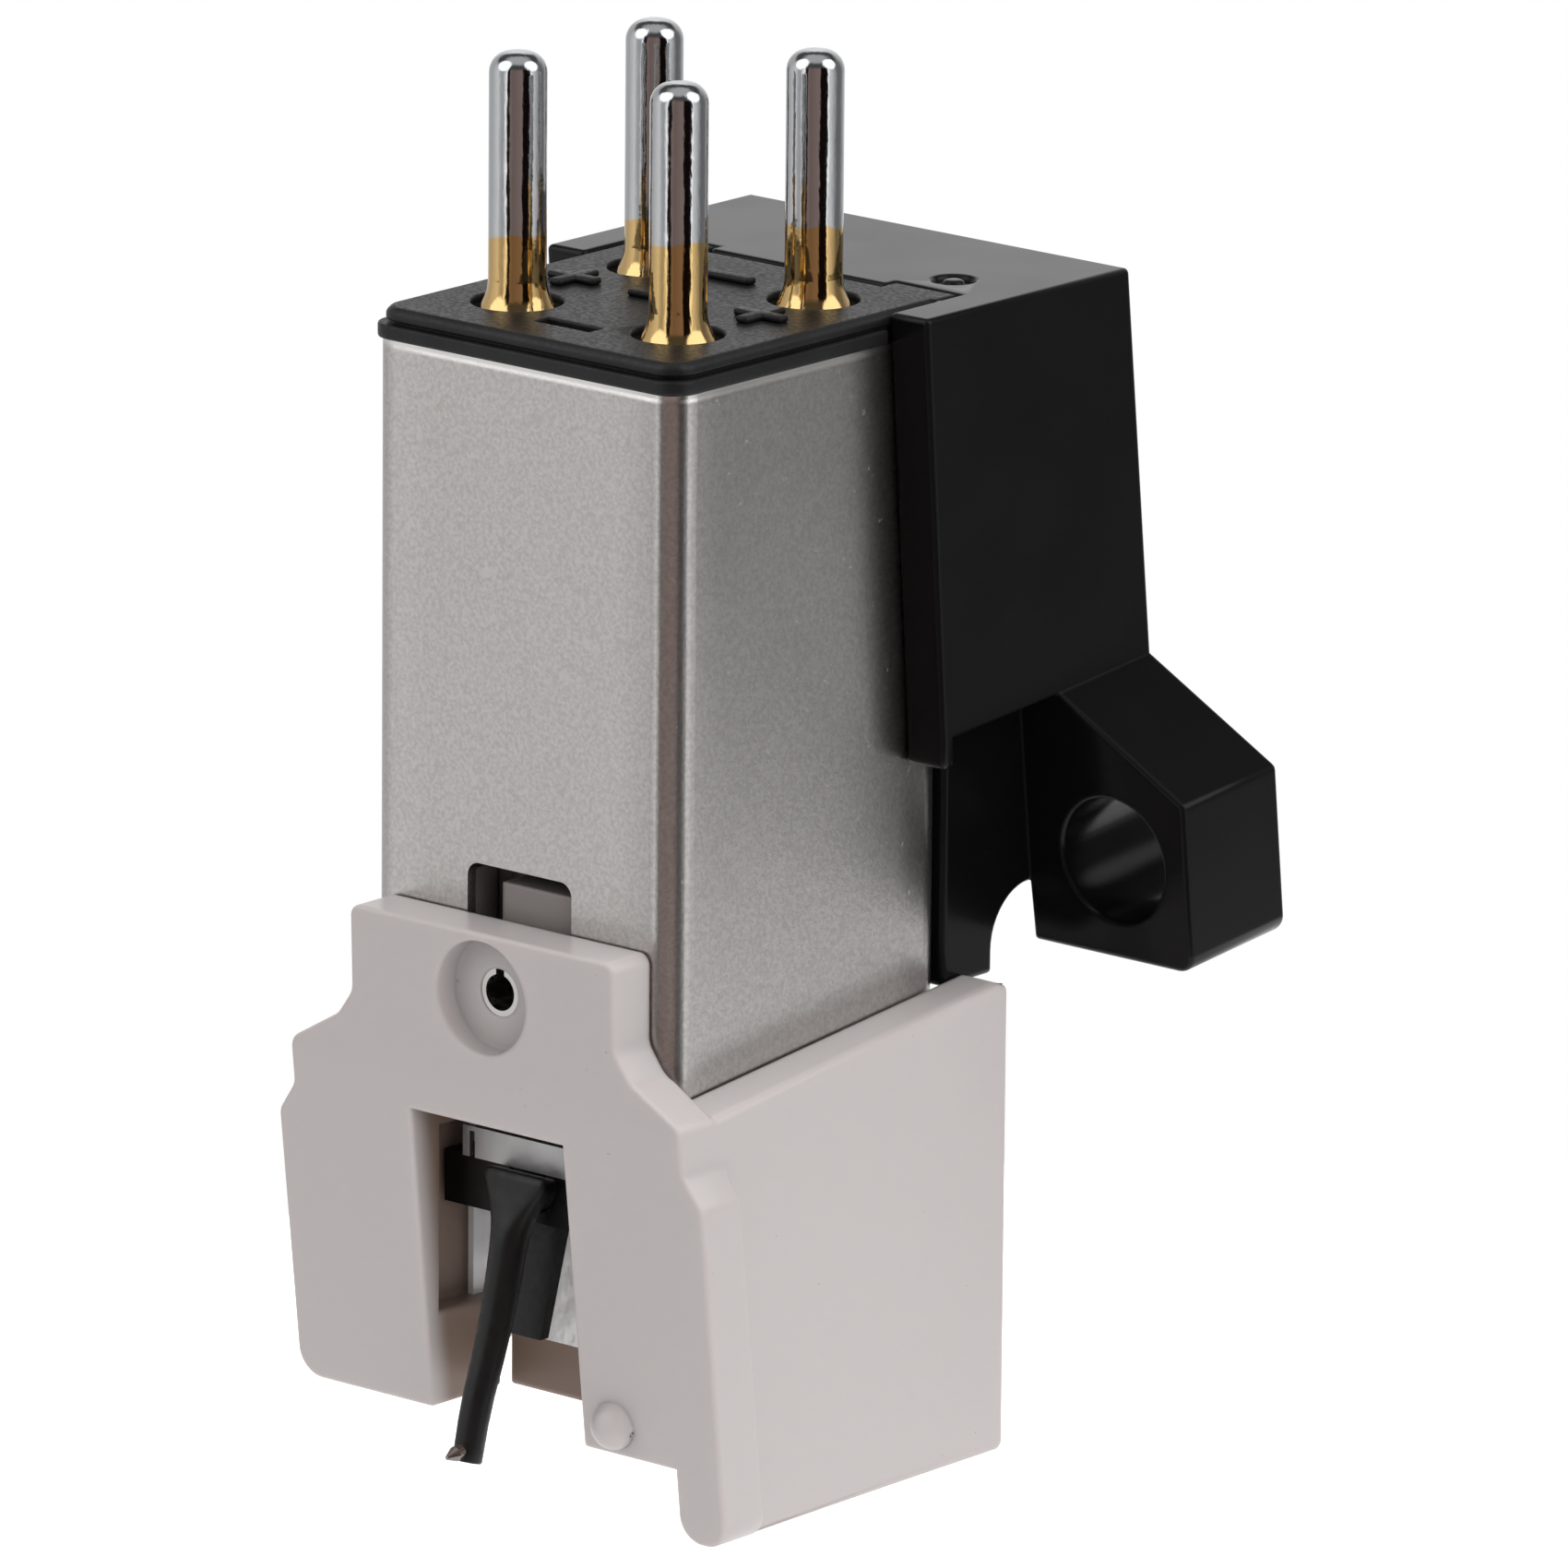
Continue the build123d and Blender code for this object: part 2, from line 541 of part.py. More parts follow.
# Stylus holder, the moulding that pushes onto the open end of the can
with BuildPart() as stylus_holder:
    with BuildSketch(facing(0)) as front_outline:
        with BuildLine():
            tongue_half = TONGUE_WIDTH / 2
            shoulder_half = SHOULDER_WIDTH / 2
            flange_half = FLANGE_WIDTH / 2
            shoulder_low = shoulder_top - SHOULDER_DROP
            step_corner = (tongue_half + TONGUE_STEP_WIDTH, shoulder_top - TONGUE_STEP_DROP)
            Polyline(
                (0, tongue_top),
                (tongue_half, tongue_top),
                (tongue_half, shoulder_top),
                step_corner,
                (shoulder_half, shoulder_low),
                (shoulder_half, flange_top),
                (flange_half, flange_top - FLANGE_SLOPE),
                (flange_half, leg_bottom),
                (0, leg_bottom),
                close=True,
            )
        make_face()
        for corner, radius in (
            ((tongue_half, tongue_top), TONGUE_CORNER),
            ((tongue_half, shoulder_top), TONGUE_FOOT),
            (step_corner, TONGUE_FOOT),
            ((shoulder_half, shoulder_low), SHOULDER_CORNER),
            ((shoulder_half, flange_top), FLANGE_CORNER),
            ((flange_half, flange_top - FLANGE_SLOPE), FLANGE_CORNER),
            ((flange_half, leg_bottom), LEG_CORNER),
        ):
            fillet(front_outline.vertices().sort_by_distance(corner)[0], radius)
        mirror(about=Plane.YZ)
        with Locations((flange_half, keel_bottom)):
            Rectangle(
                KEEL_WIDTH, leg_bottom - keel_bottom + LEG_CORNER, align=(Align.MAX, Align.MIN)
            )
        fillet(front_outline.vertices().group_by(Axis.Y)[0], KEEL_CORNER)
    extrude(amount=2 * TONGUE_FRONT)
    extrude(front_outline.sketch, amount=-LEG_DEPTH)
    with BuildSketch(beside(0)) as side_profile:
        with BuildLine():
            Polyline(
                (-TONGUE_FRONT, tongue_top),
                (-LEAN_FRONT, lean_top),
                (front_y(far_below), far_below),
                (LEG_DEPTH, far_below),
                (LEG_DEPTH, tongue_top),
                close=True,
            )
        make_face()
        fillet(side_profile.vertices().sort_by_distance((-LEAN_FRONT, lean_top))[0], LEAN_BLEND)
    extrude(amount=FLANGE_WIDTH, both=True, mode=Mode.INTERSECT)
    with BuildSketch(beside(0)):
        with BuildLine():
            Polyline(
                (0, tongue_top),
                (0, rim_z(0)),
                (LEG_DEPTH, rim_z(LEG_DEPTH)),
                (LEG_DEPTH, tongue_top),
                close=True,
            )
        make_face()
    extrude(amount=FLANGE_WIDTH, both=True, mode=Mode.SUBTRACT)
    for side in (-1, 1):
        with BuildSketch(beside(side * shoulder_half)):
            with BuildLine():
                Polyline(
                    (front_y(can_end) + FLANGE_THICKNESS, can_end),
                    (front_y(far_below) + FLANGE_THICKNESS, far_below),
                    (2 * LEG_DEPTH, far_below),
                    (2 * LEG_DEPTH, can_end),
                    close=True,
                )
            make_face()
        extrude(amount=side * FLANGE_WIDTH, mode=Mode.SUBTRACT)
    for side, bottom in ((-1, leg_bottom), (1, keel_bottom)):
        with BuildSketch(beside(side * socket_half)) as wing:
            with BuildLine():
                Polyline(
                    (0, rim_z(0)),
                    (WING_BACK, rim_z(WING_BACK)),
                    (WING_BACK, bottom),
                    (front_y(bottom) + FLANGE_THICKNESS / 2, bottom),
                    (0, flange_top),
                    close=True,
                )
            make_face()
            fillet(wing.vertices().group_by(Axis.X)[-1], WING_CORNER)
        extrude(amount=side * (shoulder_half - socket_half))
        crease_z = (flange_top + leg_bottom) / 2
        crease_y = front_y(crease_z) + FLANGE_THICKNESS
        crease = can_frame.from_local_coords(Vector(side * shoulder_half, crease_y, crease_z))
        fillet(stylus_holder.edges().sort_by_distance(crease)[0], FLANGE_CREASE)
    with BuildSketch(level(floor_bottom)):
        with Locations((0, -FIT_GAP)):
            Rectangle(2 * socket_half, WING_BACK - FLOOR_SETBACK, align=(Align.CENTER, Align.MIN))
    extrude(amount=FLOOR_THICKNESS)
    with BuildSketch(level(floor_top)):
        with Locations((0, -FIT_GAP)):
            Rectangle(2 * socket_half, 2 * CAN_DEPTH, align=(Align.CENTER, Align.MIN))
    extrude(amount=CAN_LENGTH, mode=Mode.SUBTRACT)
    with BuildSketch(level(floor_top)) as insert:
        with Locations((0, PLUG_FRONT)):
            Rectangle(2 * inner_half - 4 * FIT_GAP, PLUG_DEPTH, align=(Align.CENTER, Align.MIN))
        fillet(insert.vertices(), CAN_CORNER - CAN_SHEET)
    extrude(amount=plug_top - floor_top)
    with BuildSketch(level(plug_top)):
        with Locations((-KEYWAY_X, PLUG_FRONT)):
            Rectangle(KEYWAY_WIDTH, KEYWAY_WIDTH, align=(Align.MAX, Align.MIN))
    extrude(amount=-KEYWAY_DEPTH, mode=Mode.SUBTRACT)
    with BuildSketch(facing(-TONGUE_FRONT * 2)):
        with Locations((0, slot_top)):
            Rectangle(SLOT_WIDTH, slot_top - keel_bottom, align=(Align.CENTER, Align.MAX))
    extrude(amount=-TONGUE_FRONT * 2 - LEG_DEPTH, mode=Mode.SUBTRACT)
    with BuildSketch(level(pocket_floor)):
        with Locations((0, -FIT_GAP)):
            Rectangle(POCKET_WIDTH, LEG_DEPTH + FIT_GAP, align=(Align.CENTER, Align.MIN))
    extrude(amount=floor_bottom - pocket_floor, mode=Mode.SUBTRACT)
    with BuildSketch(level(floor_bottom)):
        with Locations((0, BACK_WALL_FRONT)):
            Rectangle(BACK_WALL_WIDTH, BACK_WALL_THICKNESS, align=(Align.CENTER, Align.MIN))
    extrude(amount=leg_bottom - floor_bottom)
    for core_x in (-CORE_X, CORE_X):
        with BuildSketch(level(plug_top)):
            with Locations((core_x, CORE_MID_Y)):
                Rectangle(
                    CORE_THICKNESS + 2 * POLE_GAP, LEG_SPACING + CORE_WIDTH + 2 * POLE_GAP
                )
        extrude(amount=core_tip - POLE_GAP - plug_top, mode=Mode.SUBTRACT)
    with BuildSketch(level(floor_bottom)):
        with Locations((0, pivot_y)):
            Rectangle(CHAMBER_WIDTH, CHAMBER_DEPTH, align=(Align.CENTER, Align.MIN))
    extrude(amount=chamber_top - floor_bottom, mode=Mode.SUBTRACT)
    for radius, depth in ((RECESS_RADIUS, RECESS_DEPTH), (ROLL_RADIUS, ROLL_SETBACK + ROLL_LENGTH)):
        with BuildSketch(facing(-TONGUE_FRONT + depth)):
            with Locations((0, recess_z)):
                Circle(radius)
        extrude(amount=TONGUE_FRONT + depth, mode=Mode.SUBTRACT)
    with BuildSketch(facing(BACK_WALL_FRONT + BACK_WALL_THICKNESS)):
        with Locations((0, pivot_z)):
            Circle(WIRE_RADIUS)
    extrude(amount=BACK_WALL_THICKNESS, mode=Mode.SUBTRACT)
    with Locations(can_frame.from_local_coords(Vector(DOME_X, front_y(dome_z), dome_z))):
        Sphere(DOME_RADIUS)
stylus_holder.part.label = "stylus_holder"
export_step(stylus_holder.part, "parts/stylus_holder.step")

# Roll pin, a strip of sheet rolled into a tube with a slit, pressed through tongue and plug
with BuildPart() as roll_pin:
    with BuildSketch(facing(-TONGUE_FRONT + ROLL_SETBACK)):
        with Locations((0, recess_z)):
            Circle(ROLL_RADIUS)
            Circle(ROLL_RADIUS - ROLL_SHEET, mode=Mode.SUBTRACT)
            Rectangle(
                ROLL_SLIT, ROLL_RADIUS * 2, align=(Align.CENTER, Align.MIN), mode=Mode.SUBTRACT
            )
    extrude(amount=-ROLL_LENGTH)
roll_pin.part.label = "roll_pin"
export_step(roll_pin.part, "parts/roll_pin.step")

# Suspension carrier, the black moulding that holds the damper under the holder's floor
carrier_half = CARRIER_WIDTH / 2
carrier_back = CARRIER_FRONT + CARRIER_DEPTH
with BuildPart() as suspension_carrier:
    with BuildSketch(facing(CARRIER_FRONT)):
        with BuildLine():
            Polyline(
                (0, floor_bottom),
                (CARRIER_TOP_WIDTH / 2, floor_bottom),
                (CARRIER_TOP_WIDTH / 2, carrier_step),
                (carrier_half, carrier_step),
                (carrier_half, carrier_bottom),
                (0, carrier_bottom),
                close=True,
            )
        make_face()
        mirror(about=Plane.YZ)
        with Locations((0, pivot_z)):
            Circle(DAMPER_RADIUS + DAMPER_GAP, mode=Mode.SUBTRACT)
    extrude(amount=-CARRIER_DEPTH)
    with BuildSketch(beside(0)):
        with BuildLine():
            Polyline(
                (STOP_TOP_Y, carrier_bottom),
                (STOP_TOP_Y + STOP_THICKNESS, carrier_bottom),
                (STOP_LOW_Y + STOP_TIP_THICKNESS, stop_bottom),
                (STOP_LOW_Y, stop_bottom),
                close=True,
            )
        make_face()
    extrude(amount=STOP_WIDTH / 2, both=True)
suspension_carrier.part.label = "suspension_carrier"
export_step(suspension_carrier.part, "parts/suspension_carrier.step")

# Retaining plate in front of the carrier
with BuildPart() as retaining_plate:
    with BuildSketch(facing(CARRIER_FRONT)):
        with BuildLine():
            Polyline(
                (-PLATE_WIDTH / 2, floor_bottom),
                (PLATE_WIDTH / 2, floor_bottom),
                (PLATE_WIDTH / 2, plate_bottom),
                (-PLATE_WIDTH / 2, plate_bottom),
                close=True,
            )
        make_face()
        with Locations((-PLATE_SLIT_X, plate_bottom), (PLATE_SLIT_X, plate_bottom)):
            Rectangle(
                PLATE_SLIT,
                floor_bottom - plate_bottom - PLATE_BRIDGE,
                align=(Align.CENTER, Align.MIN),
                mode=Mode.SUBTRACT,
            )
    extrude(amount=PLATE_THICKNESS)
retaining_plate.part.label = "retaining_plate"
export_step(retaining_plate.part, "parts/retaining_plate.step")

# Suspension sleeve, a bent sheet behind the carrier that stands on the pocket's floor
with BuildPart() as suspension_sleeve:
    sleeve_half = SLEEVE_WIDTH / 2
    sleeve_back = BACK_WALL_FRONT
    with BuildSketch(level(pocket_floor)) as bend:
        with BuildLine() as fold:
            Polyline(
                (-sleeve_half, sleeve_back - SLEEVE_LIMB),
                (-sleeve_half, sleeve_back),
                (sleeve_half, sleeve_back),
                (sleeve_half, sleeve_back - SLEEVE_LIMB),
            )
            fillet(fold.vertices().group_by(Axis.Y)[-1], SLEEVE_BEND)
            offset(amount=SLEEVE_SHEET, side=Side.RIGHT)
        make_face()
    extrude(amount=floor_bottom - pocket_floor)
    with BuildSketch(level(sleeve_tail)):
        with Locations((0, sleeve_back)):
            Rectangle(SLOT_WIDTH - 4 * FIT_GAP, SLEEVE_SHEET, align=(Align.CENTER, Align.MAX))
    extrude(amount=pocket_floor - sleeve_tail)
    with BuildSketch(facing(sleeve_back)):
        with Locations((0, pivot_z)):
            Circle(WIRE_RADIUS)
    extrude(amount=SLEEVE_SHEET, mode=Mode.SUBTRACT)
suspension_sleeve.part.label = "suspension_sleeve"
export_step(suspension_sleeve.part, "parts/suspension_sleeve.step")

# Damper, a rubber ring in the carrier's bore
with BuildPart() as damper:
    with BuildSketch(facing(pivot_y - DAMPER_LENGTH / 2)):
        with Locations((0, pivot_z)):
            Circle(DAMPER_RADIUS)
            Circle(NECK_RADIUS + NECK_GAP, mode=Mode.SUBTRACT)
    extrude(amount=-DAMPER_LENGTH)
damper.part.label = "damper"
export_step(damper.part, "parts/damper.step")

# Magnet yoke, the black moulding that joins the cantilever's root to the stem of the magnets
root_front = CARRIER_FRONT - PLATE_THICKNESS - FIT_GAP
stem_front = carrier_back + STEM_GAP
stem_middle = stem_front + STEM_THICKNESS / 2
magnet_low = stem_top - MAGNET_LENGTH
magnet_lean = MAGNET_LENGTH * tan(radians(MAGNET_ANGLE))
with BuildPart() as magnet_yoke:
    with BuildSketch(facing(root_front + ROOT_THICKNESS / 2)):
        with Locations((0, pivot_z)):
            Circle(NECK_RADIUS)
    extrude(amount=-(stem_front - root_front) - STEM_THICKNESS / 2)
    with BuildSketch(facing(stem_front)):
        with BuildLine():
            Polyline(
                (0, pivot_z - NECK_RADIUS),
                (STEM_WIDTH / 2, pivot_z - NECK_RADIUS),
                (STEM_WIDTH / 2, magnet_low),
                (STEM_WIDTH / 2 + magnet_lean, stem_top),
                (0, stem_top),
                close=True,
            )
        make_face()
        mirror(about=Plane.YZ)
    extrude(amount=-STEM_THICKNESS)
    with BuildSketch(facing(stem_front + STEM_THICKNESS)):
        with Locations((0, pivot_z)):
            Circle(WIRE_RADIUS + WIRE_GAP)
    extrude(amount=DAMPER_LENGTH, mode=Mode.SUBTRACT)
magnet_yoke.part.label = "magnet_yoke"
export_step(magnet_yoke.part, "parts/magnet_yoke.step")

# Cantilever, with a flat fan-shaped root that narrows to a tapered tube
arm = Plane(
    origin=can_frame.from_local_coords(Vector(0, root_front - ROOT_THICKNESS / 2, pivot_z)),
    x_dir=can_frame.x_dir,
    z_dir=can_frame.y_dir.rotate(Axis.X, -CANTILEVER_ANGLE),
)
arm_axis = Axis(arm.origin, arm.y_dir)
tip_centre = arm.from_local_coords(Vector(0, CANTILEVER_LENGTH - STYLUS_FROM_END, 0))
tip_plane = Plane(origin=tip_centre, x_dir=(1, 0, 0), z_dir=(0, -1, 0))
with BuildPart() as cantilever:
    with BuildSketch(arm) as fan:
        with BuildLine():
            Polyline(
                (-ROOT_WIDTH / 2, -ROOT_RISE),
                (ROOT_WIDTH / 2, -ROOT_RISE),
                (ROOT_WIDTH / 2, ROOT_EDGE - ROOT_RISE),
                (CANTILEVER_ROOT_RADIUS, ROOT_HEIGHT - ROOT_RISE),
                (-CANTILEVER_ROOT_RADIUS, ROOT_HEIGHT - ROOT_RISE),
                (-ROOT_WIDTH / 2, ROOT_EDGE - ROOT_RISE),
                close=True,
            )
        make_face()
        fillet(fan.vertices().group_by(Axis.Y)[0], ROOT_CORNER)
    extrude(amount=ROOT_THICKNESS / 2, both=True)
    tube_start = ROOT_HEIGHT - ROOT_RISE - CANTILEVER_ROOT_RADIUS
    with BuildSketch(arm):
        with BuildLine():
            Polyline(
                (0, tube_start),
                (CANTILEVER_ROOT_RADIUS, tube_start),
                (CANTILEVER_TIP_RADIUS, CANTILEVER_LENGTH),
                (0, CANTILEVER_LENGTH),
                close=True,
            )
        make_face()
    revolve(axis=arm_axis)
    with BuildSketch(tip_plane):
        Circle(STYLUS_RADIUS)
    extrude(amount=STYLUS_SHANK, mode=Mode.SUBTRACT)
cantilever.part.label = "cantilever"
export_step(cantilever.part, "parts/cantilever.step")

# Stylus, a diamond with a straight shank and a cone, square to the mounting face
with BuildPart() as stylus:
    with BuildSketch(tip_plane):
        Circle(STYLUS_RADIUS)
    extrude(amount=STYLUS_SHANK)
    with BuildSketch(tip_plane.offset(STYLUS_SHANK)):
        Circle(STYLUS_RADIUS)
    extrude(amount=STYLUS_LENGTH, taper=STYLUS_TAPER)
stylus.part.label = "stylus"
export_step(stylus.part, "parts/stylus.step")

# Magnets, one for each channel, leaning apart on the two sides of the stem
for channel, side in (("left", -1), ("right", 1)):
    with BuildPart() as magnet:
        with BuildSketch(facing(stem_middle - MAGNET_THICKNESS / 2)):
            with BuildLine():
                near = side * STEM_WIDTH / 2
                across = side * MAGNET_WIDTH
                lean = side * magnet_lean
                Polyline(
                    (near, magnet_low),
                    (near + across, magnet_low),
                    (near + across + lean, stem_top),
                    (near + lean, stem_top),
                    close=True,
                )
            make_face()
        extrude(amount=-MAGNET_THICKNESS)
    magnet.part.label = f"{channel}_magnet"
    export_step(magnet.part, f"parts/{channel}_magnet.step")

# Tension wire, held in the holder's back wall and reaching into the yoke's bore
with BuildPart() as tension_wire:
    with BuildSketch(facing(stem_front)):
        with Locations((0, pivot_z)):
            Circle(WIRE_RADIUS)
    extrude(amount=stem_front - BACK_WALL_FRONT - BACK_WALL_THICKNESS)
tension_wire.part.label = "tension_wire"
export_step(tension_wire.part, "parts/tension_wire.step")
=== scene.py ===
import math

import bmesh
import bpy
from mathutils import Matrix, Vector
from mathutils.bvhtree import BVHTree


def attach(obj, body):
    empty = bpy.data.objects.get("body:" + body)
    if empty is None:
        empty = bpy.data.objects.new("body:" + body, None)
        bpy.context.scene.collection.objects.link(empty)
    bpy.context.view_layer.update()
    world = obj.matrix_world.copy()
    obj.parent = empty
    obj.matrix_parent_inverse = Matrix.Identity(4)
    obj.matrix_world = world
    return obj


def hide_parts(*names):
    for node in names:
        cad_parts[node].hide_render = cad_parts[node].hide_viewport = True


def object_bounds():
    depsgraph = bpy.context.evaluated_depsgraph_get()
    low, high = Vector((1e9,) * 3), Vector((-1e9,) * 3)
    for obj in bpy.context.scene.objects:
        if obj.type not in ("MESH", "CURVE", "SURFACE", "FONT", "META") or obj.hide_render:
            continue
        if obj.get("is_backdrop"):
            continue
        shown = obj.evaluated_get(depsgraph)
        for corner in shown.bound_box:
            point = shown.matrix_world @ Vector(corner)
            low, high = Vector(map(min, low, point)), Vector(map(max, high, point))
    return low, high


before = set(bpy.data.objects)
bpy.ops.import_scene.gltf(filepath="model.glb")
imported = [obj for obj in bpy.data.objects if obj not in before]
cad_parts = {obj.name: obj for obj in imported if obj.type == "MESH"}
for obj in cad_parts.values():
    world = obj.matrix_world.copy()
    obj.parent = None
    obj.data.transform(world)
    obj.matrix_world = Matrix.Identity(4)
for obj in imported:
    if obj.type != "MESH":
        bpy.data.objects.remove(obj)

bl_info = {
    "name": "Turntable stylus cartridge",
    "version": (1, 0, 0),
    "blender": (4, 5, 0),
    "location": "3D View > Sidebar > Cartridge",
    "description": "Finishes a packed turntable cartridge and sets its stage",
    "category": "Object",
}

# Values named _MM are millimetres; the scene itself is in metres. The can has a frame of its own,
# which leans with it: X across, Y back from its front, Z up from its top edge.
MM = 0.001
TILT = math.radians(6.0)
CAN_ORIGIN_MM = Vector((0.0, -12.99, 12.43))
CAN_HALF_WIDTH_MM = 4.1
CAN_HALF_DEPTH_MM = 4.25
CAP_TOP_MM = 0.64
PINS_DEPTH_MM = 4.4


def linear(hex_colour):
    """An sRGB hex colour as linear red, green and blue."""
    parts = [int(hex_colour[i : i + 2], 16) / 255 for i in (1, 3, 5)]
    return [p / 12.92 if p <= 0.04045 else ((p + 0.055) / 1.055) ** 2.4 for p in parts]


def can_matrix():
    """From the can's own frame, in millimetres, to the scene, in metres."""
    turn = Matrix.Rotation(-TILT, 4, "X")
    return Matrix.Scale(MM, 4) @ Matrix.Translation(CAN_ORIGIN_MM) @ turn


def colour_property(label, hex_colour, description):
    return bpy.props.FloatVectorProperty(
        name=label,
        description=description,
        subtype="COLOR",
        min=0.0,
        max=1.0,
        default=linear(hex_colour),
    )


def size_property(label, millimetres, description):
    return bpy.props.FloatProperty(
        name=label,
        description=description,
        subtype="DISTANCE",
        unit="LENGTH",
        default=millimetres * MM,
    )


class CartridgeSizes(bpy.types.PropertyGroup):
    bracket_edge: size_property("Bracket edge", 0.1, "Radius on the bracket's moulded edges")
    holder_edge: size_property("Holder edge", 0.08, "Radius on the stylus holder's moulded edges")
    holder_softness: size_property("Holder softness", 0.14, "Radius its edges show in the light")
    rim_edge: size_property("Rim edge", 0.34, "Radius on the outer edge of the holder's rim")
    cap_edge: size_property("Cap edge", 0.045, "Radius on the terminal cap's moulded edges")
    mark_height: size_property("Mark height", 0.14, "Height of the raised signs on the cap")
    mark_width: size_property("Mark width", 0.3, "Width of a stroke of the raised signs")
    mark_length: size_property("Mark length", 1.25, "Length of a stroke of the raised signs")
    tinned_from: size_property("Tinned from", 2.09, "Height on a pin where the tin begins")


class CartridgeColours(bpy.types.PropertyGroup):
    bracket: colour_property("Bracket", "#0A0A0B", "Black of the bracket moulding")
    cap: colour_property("Cap", "#111112", "Dark grey of the terminal cap")
    tinplate: colour_property("Tinplate", "#C6C3C1", "Tinned sheet of the can")
    tin: colour_property("Tin", "#BFC0C2", "Tin on the pins")
    gold: colour_property("Gold", "#D0B078", "Gold flash on the pins")
    holder: colour_property("Holder", "#B9B3B2", "Warm grey of the stylus holder")
    floor: colour_property("Floor", "#F4F4F4", "Floor below the part")


class CartridgeView(bpy.types.PropertyGroup):
    azimuth: bpy.props.FloatProperty(
        name="Azimuth",
        description="Turn of the camera round the can",
        subtype="ANGLE",
        default=math.radians(40.391),
    )
    elevation: bpy.props.FloatProperty(
        name="Elevation",
        description="Height of the camera above the can's own level",
        subtype="ANGLE",
        default=math.radians(14.731),
    )
    roll: bpy.props.FloatProperty(
        name="Roll",
        description="Turn of the camera about its own axis",
        subtype="ANGLE",
        default=math.radians(0.488),
    )
    distance: size_property("Distance", 336.662, "From the camera to the middle of the picture")
    aim_right: size_property("Aim right", 5.264, "Middle of the picture, right of the can's corner")
    aim_down: size_property("Aim down", 8.363, "Middle of the picture, below the can's top edge")
    lens: bpy.props.FloatProperty(
        name="Lens",
        description="Focal length for a sensor 36 mm wide",
        subtype="DISTANCE_CAMERA",
        default=385.155,
    )


def settings():
    scene = bpy.context.scene
    return scene.cartridge_sizes, scene.cartridge_colours, scene.cartridge_view


def fill(tree, node, inputs):
    """Sets or links a node's inputs by name or number. A node given stands for its output."""
    for key, value in inputs.items():
        socket = node.inputs[key]
        if isinstance(value, bpy.types.Node):
            value = next(output for output in value.outputs if output.enabled)
        if isinstance(value, bpy.types.NodeSocket):
            tree.links.new(value, socket)
        elif socket.type == "RGBA":
            socket.default_value = (*value, 1.0)
        else:
            socket.default_value = value


def add_node(tree, kind, inputs, **values):
    """Adds a shader node with its settings, and sets or links its inputs.

    A Map Range brings its input 0 from the range 1 to 2 to the range 3 to 4. A Mix of colours
    goes from its input 6 to its input 7 as input 0 goes from 0 to 1.
    """
    made = tree.nodes.new("ShaderNode" + kind)
    for name, value in values.items():
        setattr(made, name, value)
    fill(tree, made, inputs)
    return made


# A Map Range with a soft start and end.
SOFT = {"interpolation_type": "SMOOTHSTEP"}


def new_material(name, colour, **constants):
    """A material with one Principled shader, its constants set on the shader's own sockets."""
    material = bpy.data.materials.new(name)
    material.use_nodes = True
    tree = material.node_tree
    shader = tree.nodes["Principled BSDF"]
    fill(tree, shader, {"Base Color": colour})
    fill(tree, shader, {key.replace("_", " "): value for key, value in constants.items()})
    place = add_node(tree, "TexCoord", {}).outputs["Object"]
    return material, tree, shader, place


def per_mm(size):
    """The texture scale that gives a pattern of a size in millimetres."""
    return 1.0 / (size * MM)


def can_place(tree, place):
    """Object coordinates in the can's own frame, in metres: across, from its front, and up."""
    shift = Matrix.Rotation(TILT, 3, "X") @ CAN_ORIGIN_MM * -MM
    inputs = {"Vector": place, "Rotation": (TILT, 0.0, 0.0), "Location": shift}
    return add_node(tree, "SeparateXYZ", {0: add_node(tree, "Mapping", inputs)}).outputs


def where_all(tree, *limits):
    """Where several limits hold together: the product of values from 0 to 1."""
    share = limits[0]
    for limit in limits[1:]:
        share = add_node(tree, "Math", {0: share, 1: limit}, operation="MULTIPLY")
    return share


def black_abs():
    """ABS, moulded black and polished: a deep gloss with faint handling marks in the light."""
    _, colours, _ = settings()
    material, tree, shader, place = new_material(
        "black_abs_moulded", colours.bracket, IOR=1.5, Specular_IOR_Level=0.18
    )
    cloud = add_node(tree, "TexNoise", {"Vector": place, "Scale": per_mm(2.5)})
    rough = add_node(tree, "MapRange", {0: cloud, 1: 0.3, 2: 0.7, 3: 0.16, 4: 0.22}, **SOFT)
    flattened = add_node(tree, "Mapping", {"Vector": place, "Scale": (1.0, 1.0, 9.0)})
    marks = add_node(tree, "TexNoise", {"Vector": flattened, "Scale": per_mm(0.35), "Detail": 3.0})
    worn = add_node(tree, "MapRange", {0: marks, 1: 0.66, 2: 0.78, 3: 0.0, 4: 0.05}, **SOFT)
    level = add_node(tree, "Math", {0: rough, 1: worn}, operation="ADD")
    skin = add_node(tree, "TexNoise", {"Vector": place, "Scale": per_mm(0.16)})
    edges = add_node(tree, "Bevel", {"Radius": 0.1 * MM}, samples=6)
    normal = add_node(tree, "Bump", {"Height": skin, "Distance": 0.0006 * MM, "Normal": edges})
    fill(tree, shader, {"Roughness": level, "Normal": normal})
    return material


